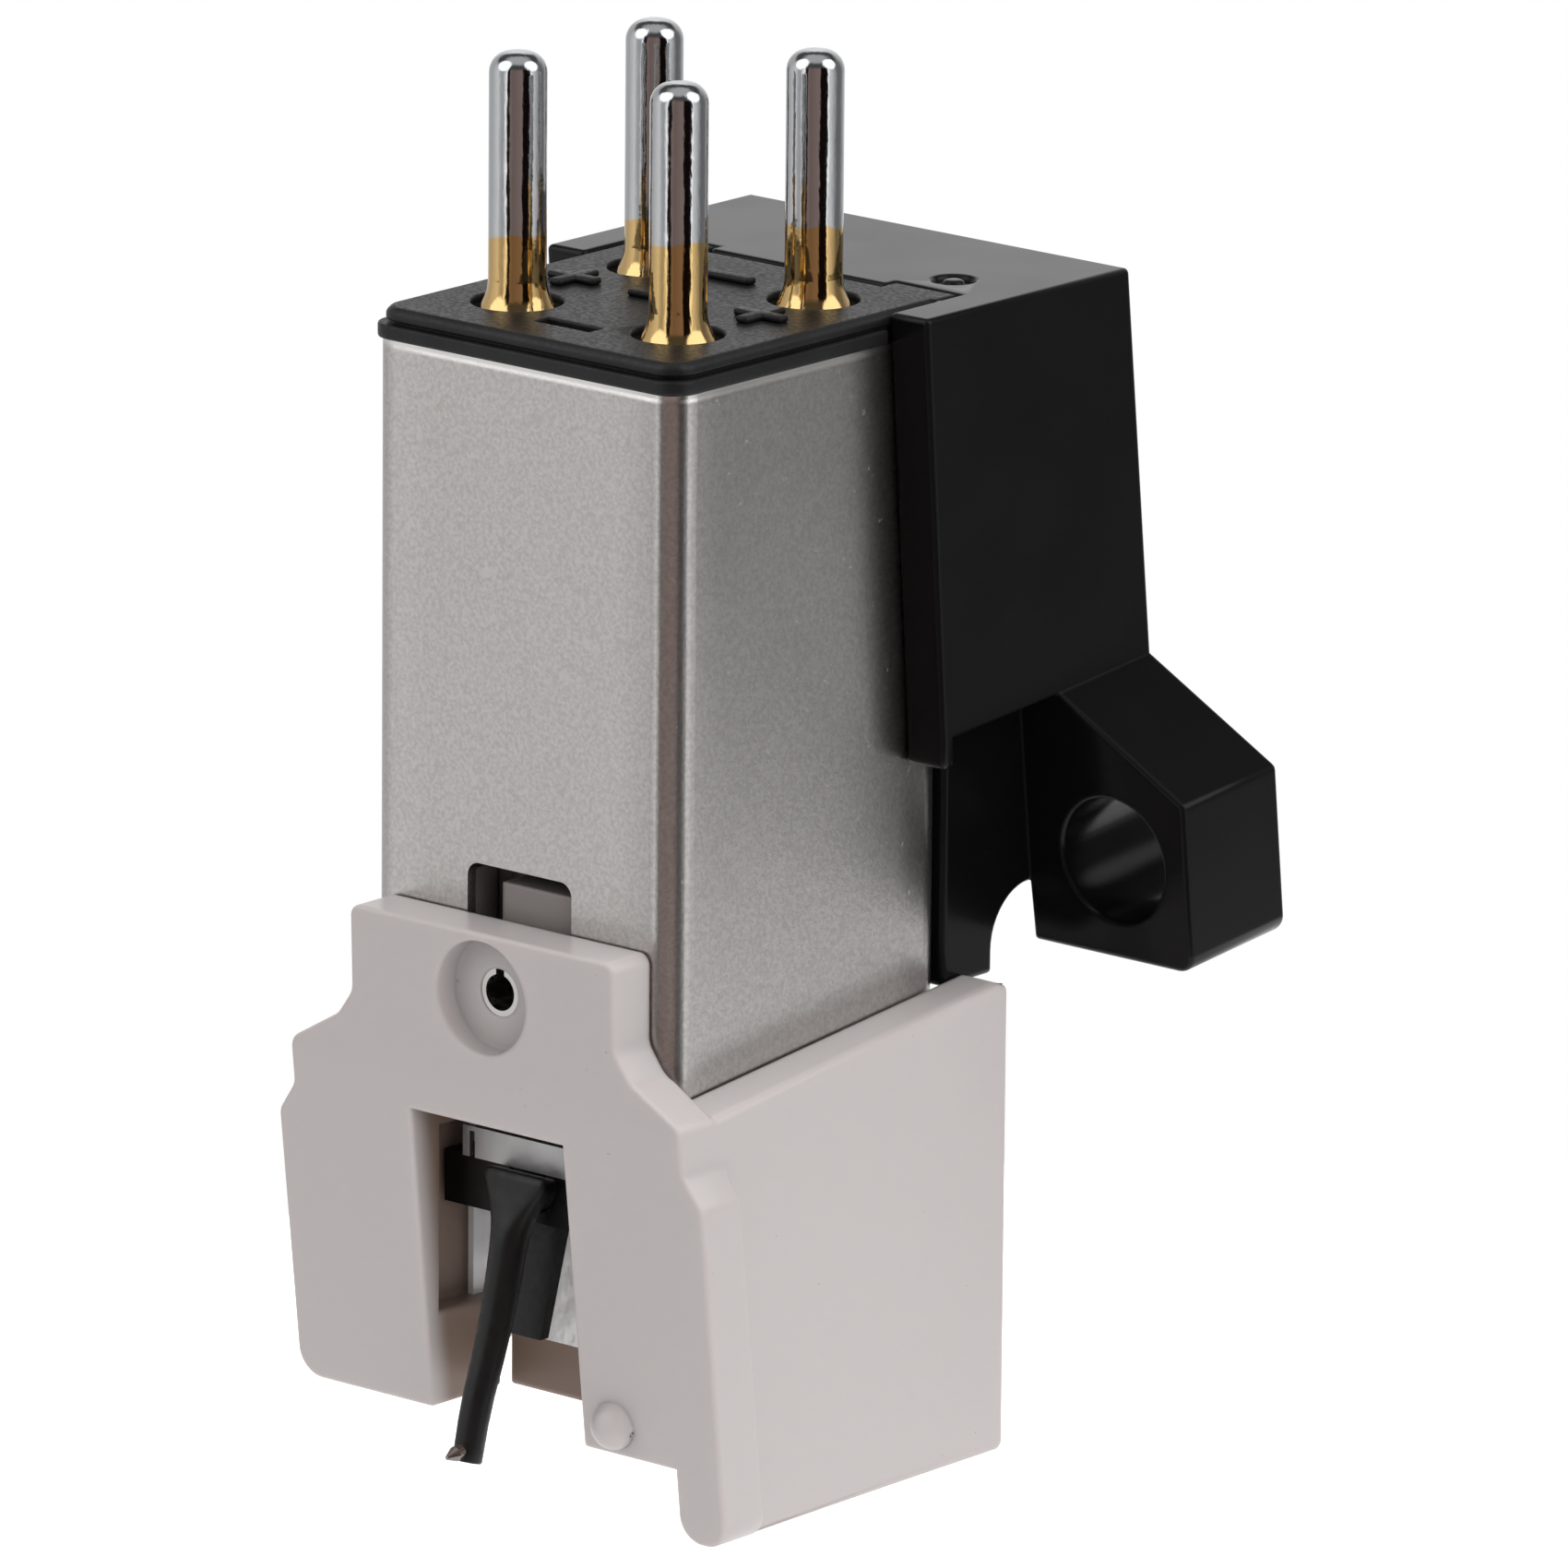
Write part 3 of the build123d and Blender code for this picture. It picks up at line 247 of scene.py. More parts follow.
def cap_moulding():
    """Glass-filled nylon from an eroded mould: an even matt skin that greys in flat light."""
    _, colours, _ = settings()
    material, tree, shader, place = new_material(
        "nylon_eroded", colours.cap, IOR=1.52, Specular_IOR_Level=0.28
    )
    grain = add_node(tree, "TexNoise", {"Vector": place, "Scale": per_mm(0.09), "Detail": 3.0})
    rough = add_node(tree, "MapRange", {0: grain, 1: 0.35, 2: 0.65, 3: 0.36, 4: 0.5}, **SOFT)
    broad = add_node(tree, "TexNoise", {"Vector": place, "Scale": per_mm(1.2)})
    cloud = add_node(tree, "MapRange", {0: broad, 1: 0.35, 2: 0.7, 3: 0.0, 4: 1.0}, **SOFT)
    greyed = linear("#171718")
    tone = add_node(tree, "Mix", {0: cloud, 6: colours.cap, 7: greyed}, data_type="RGBA")
    edges = add_node(tree, "Bevel", {"Radius": 0.08 * MM}, samples=6)
    normal = add_node(tree, "Bump", {"Height": grain, "Distance": 0.003 * MM, "Normal": edges})
    fill(tree, shader, {"Base Color": tone, "Roughness": rough, "Normal": normal})
    return material


# In a strip along each corner the can's sheet falls away, by the square of the way into the strip.
# Over a band below the cap it falls away by a share of that, with a painted highlight.
CORNER_STRIP_MM = 1.5
CORNER_FALL_MM = 0.1
TOP_EDGE_BAND_MM = (-0.22, -0.03)
TOP_EDGE_SHARE = 0.45


def corner_fall(tree, across, depth):
    """How far the can's sheet falls away near its corners, as a share of CORNER_FALL_MM."""
    shares = []
    for distance, half_mm in ((across, CAN_HALF_WIDTH_MM), (depth, CAN_HALF_DEPTH_MM)):
        inner = (half_mm - CORNER_STRIP_MM) * MM
        size = add_node(tree, "Math", {0: distance}, operation="ABSOLUTE")
        past = add_node(tree, "Math", {0: size, 1: inner}, operation="SUBTRACT")
        part = {0: past, 1: 1 / (CORNER_STRIP_MM * MM)}
        share = add_node(tree, "Math", part, operation="MULTIPLY")
        share = add_node(tree, "Math", {0: share, 1: 0.0}, operation="MAXIMUM")
        shares.append(add_node(tree, "Math", {0: share, 1: share}, operation="MULTIPLY"))
    return add_node(tree, "Math", dict(enumerate(shares)), operation="ADD")


def tinplate():
    """Rolled tinplate: satin, fine even grain, a painted highlight at the top edge, soft corners.
    """
    _, colours, _ = settings()
    material, tree, shader, place = new_material("tinplate_rolled", colours.tinplate, Metallic=1.0)
    cloud = add_node(tree, "TexNoise", {"Vector": place, "Scale": per_mm(2.2), "Detail": 3.0})
    rough = add_node(tree, "MapRange", {0: cloud, 1: 0.3, 2: 0.7, 3: 0.276, 4: 0.288}, **SOFT)
    dots = add_node(tree, "TexNoise", {"Vector": place, "Scale": per_mm(0.13), "Detail": 1.0})
    specks = add_node(tree, "MapRange", {0: dots, 1: 0.7, 2: 0.78, 3: 0.0, 4: 0.15}, **SOFT)
    level = add_node(tree, "Math", {0: rough, 1: specks}, operation="ADD")
    across, depth, height = can_place(tree, place)
    band = {0: height, 1: TOP_EDGE_BAND_MM[0] * MM, 2: TOP_EDGE_BAND_MM[1] * MM, 3: 0.0, 4: 1.0}
    top_edge = add_node(tree, "MapRange", band, **SOFT)
    inputs = {"Vector": place, "Scale": per_mm(0.09), "Detail": 3.0, "Roughness": 0.6}
    grain = add_node(tree, "TexNoise", inputs)
    share = add_node(tree, "MapRange", {0: grain, 1: 0.3, 2: 0.7, 3: 0.0, 4: 1.0}, **SOFT)
    # Painted highlight: a band of the sheet below the cap is painted brighter.
    greyer, painted_highlight_colour = linear("#B3B0AE"), linear("#DEDCDA")
    tone = add_node(tree, "Mix", {0: share, 6: colours.tinplate, 7: greyer}, data_type="RGBA")
    tone = add_node(tree, "Mix", {0: top_edge, 6: tone, 7: painted_highlight_colour}, data_type="RGBA")
    half_depth = CAN_HALF_DEPTH_MM * MM
    from_middle = add_node(tree, "Math", {0: depth, 1: half_depth}, operation="SUBTRACT")
    fall = corner_fall(tree, across, from_middle)
    fall = add_node(tree, "Math", {0: fall, 1: -1.0}, operation="MULTIPLY")
    inputs = {0: top_edge, 1: -TOP_EDGE_SHARE, 2: fall}
    fall = add_node(tree, "Math", inputs, operation="MULTIPLY_ADD")
    form = add_node(tree, "Bump", {"Height": fall, "Distance": CORNER_FALL_MM * MM})
    normal = add_node(tree, "Bump", {"Height": grain, "Distance": 0.0028 * MM, "Normal": form})
    fill(tree, shader, {"Base Color": tone, "Roughness": level, "Normal": normal})
    return material


# The tin's lower end on the pins: how far it strays and blends, and how it slopes across the cap
# and back from the can's front.
TIN_STRAYS_MM = 0.07
TIN_BLEND_MM = 0.03
TIN_SLOPE_ACROSS = -0.11
TIN_SLOPE_BACK = 0.08


def pin_plating():
    """Brass with a gold flash, dipped in tin from a ragged line upwards: mirror bright."""
    sizes, colours, _ = settings()
    material, tree, shader, place = new_material(
        "brass_gold_and_tin", colours.tin, Metallic=1.0, Roughness=0.09
    )
    across, depth, height = can_place(tree, place)
    waves = add_node(tree, "TexNoise", {"Vector": place, "Scale": per_mm(0.6)})
    strays = TIN_STRAYS_MM * MM
    ragged = add_node(tree, "MapRange", {0: waves, 1: 0.3, 2: 0.7, 3: -strays, 4: strays}, **SOFT)
    line = add_node(tree, "Math", {0: height, 1: ragged}, operation="ADD")
    for way, slope in ((across, TIN_SLOPE_ACROSS), (depth, TIN_SLOPE_BACK)):
        line = add_node(tree, "Math", {0: way, 1: slope, 2: line}, operation="MULTIPLY_ADD")
    start = sizes.tinned_from + TIN_SLOPE_BACK * PINS_DEPTH_MM * MM
    blend = TIN_BLEND_MM * MM
    inputs = {0: line, 1: start - blend, 2: start + blend, 3: 0.0, 4: 1.0}
    share = add_node(tree, "MapRange", inputs, **SOFT)
    tone = add_node(tree, "Mix", {0: share, 6: colours.gold, 7: colours.tin}, data_type="RGBA")
    drawn = add_node(tree, "Mapping", {"Vector": place, "Scale": (1.0, 1.0, 0.2)})
    streaks = add_node(tree, "TexNoise", {"Vector": drawn, "Scale": per_mm(0.35), "Detail": 3.0})
    beads = add_node(tree, "TexNoise", {"Vector": place, "Scale": per_mm(0.3)})
    form = add_node(tree, "Bump", {"Height": streaks, "Distance": 0.012 * MM})
    normal = add_node(tree, "Bump", {"Height": beads, "Distance": 0.006 * MM, "Normal": form})
    fill(tree, shader, {"Base Color": tone, "Normal": normal})
    return material


# The holder's walls, in the can's frame: how low the can hides them and how much painted shade
# darkens them there, the slot in its front, whose walls get painted shade, the wider space behind
# that, and how the front leans back, in millimetres for each millimetre up.
BEHIND_CAN_FROM_MM = -14.4
CAN_SHADE_SHARE = 0.6
SLOT_TOP_MM = -15.65
SLOT_HALF_WIDTH_MM = 2.05
SPACE_HALF_WIDTH_MM = 2.6
FRONT_BACK_MM = -0.06
FRONT_AT_SLOT_TOP_MM = -1.02
FRONT_LEAN = 0.1138


def holder_moulding():
    """Warm grey ABS, moulded smooth: light sinks in a little; painted warm shade in its hollows."""
    sizes, colours, _ = settings()
    material, tree, shader, place = new_material(
        "grey_abs_moulded",
        colours.holder,
        IOR=1.5,
        Subsurface_Weight=0.35,
        Subsurface_Scale=0.5 * MM,
        Subsurface_Radius=(1.0, 0.62, 0.48),
    )
    # Painted shade: corners and hollows are tinted darker and warmer by their ambient occlusion.
    near = add_node(tree, "AmbientOcclusion", {"Distance": 2.0 * MM}, samples=12, only_local=True)
    inner = {0: near.outputs["AO"], 1: 0.1, 2: 0.5, 3: 0.5, 4: 0.0}
    inner = add_node(tree, "MapRange", inner, **SOFT)
    corner_shade_colour = linear("#7E6A5E")
    tone = add_node(tree, "Mix", {0: inner, 6: colours.holder, 7: corner_shade_colour}, data_type="RGBA")

    # Painted shade: the walls inside the can are painted darker and browner.
    across, depth, height = can_place(tree, place)
    aside = add_node(tree, "Math", {0: across}, operation="ABSOLUTE")
    floor, side = BEHIND_CAN_FROM_MM * MM, CAN_HALF_WIDTH_MM * MM
    limits = (
        {0: depth, 1: 0.1 * MM, 2: 0.25 * MM, 3: 0.0, 4: CAN_SHADE_SHARE},
        {0: height, 1: floor - 0.2 * MM, 2: floor + 0.2 * MM, 3: 0.0, 4: 1.0},
        {0: aside, 1: side - 0.25 * MM, 2: side - 0.15 * MM, 3: 1.0, 4: 0.0},
    )
    painted_can_shade = where_all(tree, *[add_node(tree, "MapRange", each, **SOFT) for each in limits])
    can_shade_colour = linear("#5F544E")
    tone = add_node(tree, "Mix", {0: painted_can_shade, 6: tone, 7: can_shade_colour}, data_type="RGBA")

    # Painted shade: the walls of the slot in the front are painted brown.
    front = (FRONT_AT_SLOT_TOP_MM + FRONT_LEAN * SLOT_TOP_MM) * MM
    inputs = {0: height, 1: FRONT_LEAN, 2: -front}
    leaning = add_node(tree, "Math", inputs, operation="MULTIPLY_ADD")
    behind_front = add_node(tree, "Math", {0: depth, 1: leaning}, operation="ADD")
    back, top = FRONT_BACK_MM * MM, SLOT_TOP_MM * MM
    narrow, wide = (SLOT_HALF_WIDTH_MM + 0.03) * MM, (SPACE_HALF_WIDTH_MM + 0.08) * MM
    inputs = {0: depth, 1: back - 0.04 * MM, 2: back + 0.01 * MM, 3: narrow, 4: wide}
    half_width = add_node(tree, "MapRange", inputs, **SOFT)
    limits = (
        {0: behind_front, 1: 0.05 * MM, 2: 0.7 * MM, 3: 0.0, 4: 0.95},
        {0: height, 1: top - 0.05 * MM, 2: top + 0.05 * MM, 3: 1.0, 4: 0.0},
    )
    painted_slot_shade = where_all(
        tree,
        *[add_node(tree, "MapRange", each, **SOFT) for each in limits],
        add_node(tree, "Math", {0: aside, 1: half_width}, operation="LESS_THAN"),
    )
    slot_shade_colour = linear("#7D685B")
    tone = add_node(tree, "Mix", {0: painted_slot_shade, 6: tone, 7: slot_shade_colour}, data_type="RGBA")

    specks = add_node(tree, "TexNoise", {"Vector": place, "Scale": per_mm(0.12), "Detail": 0.0})
    dust = add_node(tree, "MapRange", {0: specks, 1: 0.88, 2: 0.9, 3: 0.0, 4: 0.5}, **SOFT)
    tone = add_node(tree, "Mix", {0: dust, 6: tone, 7: linear("#6E6460")}, data_type="RGBA")
    cloud = add_node(tree, "TexNoise", {"Vector": place, "Scale": per_mm(6.0), "Detail": 0.0})
    rough = add_node(tree, "MapRange", {0: cloud, 1: 0.2, 2: 0.8, 3: 0.28, 4: 0.33}, **SOFT)
    edges = add_node(tree, "Bevel", {"Radius": sizes.holder_softness}, samples=6)
    fill(tree, shader, {"Base Color": tone, "Roughness": rough, "Normal": edges})
    return material


def bright_sheet(name, hex_colour, rough, wave_mm, depth_mm, metallic=1.0):
    """Thin rolled sheet: bright, with the dents and ripples of handling."""
    material, tree, shader, place = new_material(name, linear(hex_colour), Metallic=metallic)
    ripple = add_node(tree, "TexNoise", {"Vector": place, "Scale": per_mm(wave_mm), "Detail": 3.0})
    level = {0: ripple, 1: 0.3, 2: 0.7, 3: rough, 4: rough + 0.12}
    level = add_node(tree, "MapRange", level, **SOFT)
    normal = add_node(tree, "Bump", {"Height": ripple, "Distance": depth_mm * MM})
    fill(tree, shader, {"Roughness": level, "Normal": normal})
    return material


def dark_plastic(name, hex_colour, rough, grain_mm, depth_mm):
    """A small dark part: soft lights on its edges and a fine tooth on its faces."""
    material, tree, shader, place = new_material(
        name, linear(hex_colour), IOR=1.5, Specular_IOR_Level=0.35
    )
    grain = add_node(tree, "TexNoise", {"Vector": place, "Scale": per_mm(grain_mm), "Detail": 3.0})
    level = {0: grain, 1: 0.3, 2: 0.7, 3: rough, 4: rough + 0.14}
    level = add_node(tree, "MapRange", level, **SOFT)
    normal = add_node(tree, "Bump", {"Height": grain, "Distance": depth_mm * MM})
    fill(tree, shader, {"Roughness": level, "Normal": normal})
    return material


# How far apart the bands of a Wave texture are at a scale of 1, and the turns of the windings.
WAVE_SPACING = math.tau / 20
TURN_SPACING_MM = 0.754


def wound_copper():
    """Enamelled copper wire, layer-wound: turns drawn 0.75 mm apart, coarser than the real ones."""
    material, tree, shader, place = new_material(
        "copper_wire_enamelled", linear("#B4622F"), Metallic=1.0, Roughness=0.3, Coat_Weight=0.4
    )
    scale = WAVE_SPACING * per_mm(TURN_SPACING_MM)
    inputs = {"Vector": place, "Scale": scale, "Distortion": 0.4}
    turns = add_node(tree, "TexWave", inputs, bands_direction="Z").outputs["Fac"]
    normal = add_node(tree, "Bump", {"Height": turns, "Distance": 0.05 * MM})
    # Painted shade in the grooves and painted light on the crests of the turns.
    dark, light = linear("#8A4520"), linear("#C77A42")
    tone = add_node(tree, "Mix", {0: turns, 6: dark, 7: light}, data_type="RGBA")
    fill(tree, shader, {"Base Color": tone, "Normal": normal})
    return material


def diamond():
    """A tiny diamond, industrial grade: brown, half clear and strongly bending."""
    material, tree, shader, place = new_material(
        "diamond_ground", linear("#5A4A40"), IOR=2.42, Transmission_Weight=0.4
    )
    facets = add_node(tree, "TexNoise", {"Vector": place, "Scale": per_mm(0.1)})
    level = add_node(tree, "MapRange", {0: facets, 1: 0.3, 2: 0.7, 3: 0.02, 4: 0.1}, **SOFT)
    fill(tree, shader, {"Roughness": level})
    return material


def assign(objects, material):
    for each in objects:
        each.data.materials.clear()
        each.data.materials.append(material)


def nodes_named(*names):
    return [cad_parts[name] for name in names]


def piece_from(mesh, name, material, body, replaces=None):
    """Turns a finished bmesh, in metres, into a piece that rides on a body."""
    data = bpy.data.meshes.new(name)
    mesh.to_mesh(data)
    mesh.free()
    made = bpy.data.objects.new(name, data)
    bpy.context.scene.collection.objects.link(made)
    data.materials.append(material)
    data.polygons.foreach_set("use_smooth", [True] * len(data.polygons))
    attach(made, body)
    if replaces:
        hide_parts(replaces)
    return made


def weighted_normals(piece):
    modifier = piece.modifiers.new("flat_faces", "WEIGHTED_NORMAL")
    modifier.keep_sharp = True
    modifier.weight = 100


def any_edge(edge):
    return True


# Corners closer than this are one, faces closer than this in angle are one flat face, an edge that
# turns more than this is a real one, and a round moves no corner further than this share of its
# radius.
MERGE_MM = 0.0005
FLAT_WITHIN = math.radians(0.6)
EDGE_FROM = math.radians(32)
FURTHEST_SHARE = 0.45


def softened(node, radius, segments, wanted=any_edge, rim=None, rim_radius=0.0):
    """A merged copy of a node's mesh with its outer edges rounded, worked in millimetres."""
    mesh = bmesh.new()
    mesh.from_mesh(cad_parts[node].data)
    bmesh.ops.scale(mesh, vec=(1 / MM,) * 3, verts=mesh.verts)
    bmesh.ops.remove_doubles(mesh, verts=mesh.verts, dist=MERGE_MM)
    bmesh.ops.dissolve_limit(mesh, angle_limit=FLAT_WITHIN, verts=mesh.verts, edges=mesh.edges)
    rounds = [(wanted, radius, segments)]
    if rim:
        rounds.insert(0, (rim, rim_radius, 2 * segments))
    for chosen, size, steps in rounds:
        skin = BVHTree.FromBMesh(mesh)
        edges = [
            edge
            for edge in mesh.edges
            if edge.is_convex and edge.calc_face_angle() > EDGE_FROM and chosen(edge)
        ]
        bmesh.ops.bevel(
            mesh,
            geom=edges,
            offset=size / MM,
            offset_type="OFFSET",
            segments=steps,
            profile=0.5,
            affect="EDGES",
            clamp_overlap=False,
            material=-1,
        )
        # A corner that strayed further goes back to the skin.
        for vert in mesh.verts:
            nearest, _, _, away = skin.find_nearest(vert.co)
            if away > FURTHEST_SHARE * size / MM:
                vert.co = nearest
    for edge in mesh.edges:
        edge.smooth = edge.is_manifold and edge.calc_face_angle() < EDGE_FROM
    bmesh.ops.scale(mesh, vec=(MM,) * 3, verts=mesh.verts)
    return mesh


class CARTRIDGE_OT_bracket(bpy.types.Operator):
    """The black moulding with its two ears"""

    bl_idname = "cartridge.bracket"
    bl_label = "Bracket"

    def execute(self, context):
        sizes, _, _ = settings()
        mesh = softened("bracket", sizes.bracket_edge, 3)
        piece = piece_from(
            mesh, "bracket_moulding", black_abs(), "cartridge", "bracket"
        )
        weighted_normals(piece)
        return {"FINISHED"}


class CARTRIDGE_OT_can(bpy.types.Operator):
    """The tinned can and the strap that earths it"""

    bl_idname = "cartridge.can"
    bl_label = "Shield can"

    def execute(self, context):
        assign(nodes_named("shield_can"), tinplate())
        strap = bright_sheet("brass_sheet_tinned", "#D8C79A", 0.28, 0.6, 0.01)
        assign(nodes_named("ground_strap"), strap)
        return {"FINISHED"}


SIGN_ROUND_MM = 0.05
# Where the signs stand on the cap, across and back in the can's frame, and which are a plus.
SIGN_PLACES_MM = ((-2.5, 4.45, True), (-0.2, 6.6, False), (2.5, 4.45, True), (-0.2, 4.3, False))


def sign_outline(mesh, centre, length, width, is_plus):
    """Adds the flat outline of a plus or a minus sign, and returns its face."""
    half, arm = width / 2, length / 2
    if is_plus:
        points = [(arm, half), (half, half), (half, arm)]
        quarter = points + [(-y, x) for x, y in points]
        outline = quarter + [(-x, -y) for x, y in quarter]
    else:
        outline = [(arm, half), (-arm, half), (-arm, -half), (arm, -half)]
    return mesh.faces.new([mesh.verts.new(centre + Vector((x, y, 0.0))) for x, y in outline])


class CARTRIDGE_OT_cap(bpy.types.Operator):
    """The matt cap over the can, with raised plus and minus signs"""

    bl_idname = "cartridge.cap"
    bl_label = "Terminal cap"

    def execute(self, context):
        sizes, _, _ = settings()
        material = cap_moulding()
        mesh = softened("terminal_block", sizes.cap_edge, 2)
        piece = piece_from(
            mesh, "cap_moulding", material, "cartridge", "terminal_block"
        )
        weighted_normals(piece)
        signs = bmesh.new()
        faces = []
        for x, y, is_plus in SIGN_PLACES_MM:
            centre = Vector((x, y, CAP_TOP_MM)) * MM
            faces.append(sign_outline(signs, centre, sizes.mark_length, sizes.mark_width, is_plus))
        raised = bmesh.ops.extrude_face_region(signs, geom=faces)
        tops = [item for item in raised["geom"] if isinstance(item, bmesh.types.BMVert)]
        bmesh.ops.translate(signs, vec=(0, 0, sizes.mark_height), verts=tops)
        bmesh.ops.recalc_face_normals(signs, faces=signs.faces)
        bmesh.ops.scale(signs, vec=(1 / MM,) * 3, verts=signs.verts)
        rims = [edge for edge in signs.edges if edge.calc_face_angle(0) > 0.5]
        bmesh.ops.bevel(
            signs,
            geom=rims,
            offset=SIGN_ROUND_MM,
            segments=3,
            profile=0.5,
            affect="EDGES",
            material=-1,
        )
        bmesh.ops.transform(signs, matrix=can_matrix(), verts=signs.verts)
        marks = piece_from(signs, "cap_signs", material, "cartridge")
        weighted_normals(marks)
        return {"FINISHED"}


class CARTRIDGE_OT_pins(bpy.types.Operator):
    """The four plated terminal pins"""

    bl_idname = "cartridge.pins"
    bl_label = "Terminal pins"

    def execute(self, context):
        names = [f"{side}_{use}_pin" for side in ("left", "right") for use in ("signal", "return")]
        assign(nodes_named(*names), pin_plating())
        return {"FINISHED"}


class CARTRIDGE_OT_generator(bpy.types.Operator):
    """Cores, bobbins and windings inside the can"""

    bl_idname = "cartridge.generator"
    bl_label = "Generator"

    def execute(self, context):
        sides = ("left", "right")
        ends = [f"{side}_{row}" for side in sides for row in ("front", "rear")]
        core = bright_sheet("silicon_steel_annealed", "#8D8F94", 0.42, 0.3, 0.003)
        bobbin = dark_plastic("acetal_moulded", "#D8D2BF", 0.4, 0.2, 0.003)
        assign(nodes_named(*[f"{side}_core" for side in sides]), core)
        assign(nodes_named(*[f"{end}_bobbin" for end in ends]), bobbin)
        assign(nodes_named(*[f"{end}_winding" for end in ends]), wound_copper())
        return {"FINISHED"}


# In the can's frame: a box round the recess, the outer faces of the side walls, the lowest that
# their top edges come, and the level below which the holder is clear of the can.
RECESS_BOX_MM = (1.7, -14.9, -11.6)
WALL_OUTSIDE_MM = 5.25
WALL_TOPS_FROM_MM = -15.0
CLEAR_OF_CAN_MM = -15.5


def ends_in_can_frame(edge):
    back = can_matrix().inverted() @ Matrix.Scale(MM, 4)
    return [back @ vert.co for vert in edge.verts]


def free_edge(edge):
    """False for the holder's edges against the can and round the recess in its front."""
    ends = ends_in_can_frame(edge)
    half, low, high = RECESS_BOX_MM
    in_recess = all(abs(end.x) < half and low < end.z < high for end in ends)
    side = CAN_HALF_WIDTH_MM + 0.15
    outside = any(abs(end.x) > side or end.y < -0.1 or end.z < CLEAR_OF_CAN_MM for end in ends)
    return outside and not in_recess


def on_wing_rim(edge):
    """True for the outer top edge of one of the holder's two side walls."""
    ends = ends_in_can_frame(edge)
    near, far = sorted(end.y for end in ends)
    runs_back = near > -0.05 and far - near > 1.0
    outside = all(abs(abs(end.x) - WALL_OUTSIDE_MM) < 0.02 for end in ends)
    return outside and runs_back and min(end.z for end in ends) > WALL_TOPS_FROM_MM


class CARTRIDGE_OT_holder(bpy.types.Operator):
    """The warm grey moulding that pushes onto the can"""

    bl_idname = "cartridge.holder"
    bl_label = "Stylus holder"

    def execute(self, context):
        sizes, _, _ = settings()
        mesh = softened(
            "stylus_holder", sizes.holder_edge, 3, free_edge, on_wing_rim, sizes.rim_edge
        )
        material = holder_moulding()
        piece = piece_from(
            mesh, "holder_moulding", material, "stylus_unit", "stylus_holder"
        )
        weighted_normals(piece)
        return {"FINISHED"}


class CARTRIDGE_OT_suspension(bpy.types.Operator):
    """The roll pin, the carrier and the bright sheets in the holder's slot"""

    bl_idname = "cartridge.suspension"
    bl_label = "Suspension"

    def execute(self, context):
        spring = bright_sheet("spring_steel_rolled", "#CCC8C4", 0.16, 0.4, 0.004)
        sheet = bright_sheet("aluminium_sheet", "#F8F8F9", 0.28, 0.9, 0.12, metallic=0.35)
        plate = bright_sheet("aluminium_sheet_matt", "#B9B8B8", 0.42, 0.5, 0.02)
        black = dark_plastic("nylon_black", "#070707", 0.36, 0.15, 0.003)
        rubber = dark_plastic("butyl_rubber", "#151516", 0.62, 0.1, 0.006)
        wire = bright_sheet("steel_wire_drawn", "#A9A9AB", 0.3, 0.1, 0.002)
        assign(nodes_named("roll_pin"), spring)
        assign(nodes_named("suspension_sleeve"), sheet)
        assign(nodes_named("retaining_plate"), plate)
        assign(nodes_named("suspension_carrier"), black)
        assign(nodes_named("damper"), rubber)
        assign(nodes_named("tension_wire"), wire)
        return {"FINISHED"}


# The lever's cross-sections: distance along it from the pivot, half width, half thickness,
# squareness of the section (2 is an ellipse) and sideways bow, in millimetres.
LEVER_SECTIONS = (
    (-0.30, 0.76, 0.20, 6.0, 0.0),
    (-0.25, 0.82, 0.245, 6.0, 0.0),
    (-0.10, 0.825, 0.25, 6.0, 0.0),
    (0.06, 0.76, 0.25, 5.0, 0.0),
    (0.25, 0.655, 0.265, 4.0, 0.0),
    (0.45, 0.56, 0.29, 3.2, 0.0),
    (0.70, 0.47, 0.33, 2.6, 0.0),
    (0.95, 0.415, 0.37, 2.2, 0.01),
    (1.30, 0.39, 0.385, 2.0, 0.03),
    (2.00, 0.375, 0.375, 2.0, 0.07),
    (2.80, 0.355, 0.355, 2.0, 0.08),
    (3.60, 0.34, 0.34, 2.0, 0.04),
    (4.30, 0.33, 0.33, 2.0, -0.02),
    (4.90, 0.32, 0.32, 2.0, -0.03),
    (5.40, 0.313, 0.313, 2.0, -0.01),
    (5.66, 0.31, 0.31, 2.0, 0.0),
    (5.70, 0.29, 0.29, 2.0, 0.0),
)
LEVER_PIVOT_MM = Vector((0.0, 0.02, -17.12))
LEVER_ANGLE = math.radians(15.9)


def lever_mesh():
    """The lever as one skin: a flat root that runs smoothly into a thin round arm."""
    sides = 32
    mesh = bmesh.new()
    along = Vector((0.0, -math.sin(LEVER_ANGLE), -math.cos(LEVER_ANGLE)))
    back = Vector((0.0, math.cos(LEVER_ANGLE), -math.sin(LEVER_ANGLE)))
    rings = []
    for reach, half_width, half_depth, square, bow in LEVER_SECTIONS:
        centre = LEVER_PIVOT_MM + along * reach + back * bow
        ring = []
        for step in range(sides):
            turn = 2 * math.pi * step / sides
            x = math.copysign(abs(math.cos(turn)) ** (2 / square), math.cos(turn)) * half_width
            y = math.copysign(abs(math.sin(turn)) ** (2 / square), math.sin(turn)) * half_depth
            ring.append(mesh.verts.new(centre + Vector((x, 0.0, 0.0)) + back * y))
        rings.append(ring)
    for upper, lower in zip(rings, rings[1:]):
        for step in range(sides):
            after = (step + 1) % sides
            mesh.faces.new((upper[step], upper[after], lower[after], lower[step]))
    mesh.faces.new(rings[0])
    mesh.faces.new(rings[-1])
    bmesh.ops.recalc_face_normals(mesh, faces=mesh.faces)
    bmesh.ops.transform(mesh, matrix=can_matrix(), verts=mesh.verts)
    return mesh


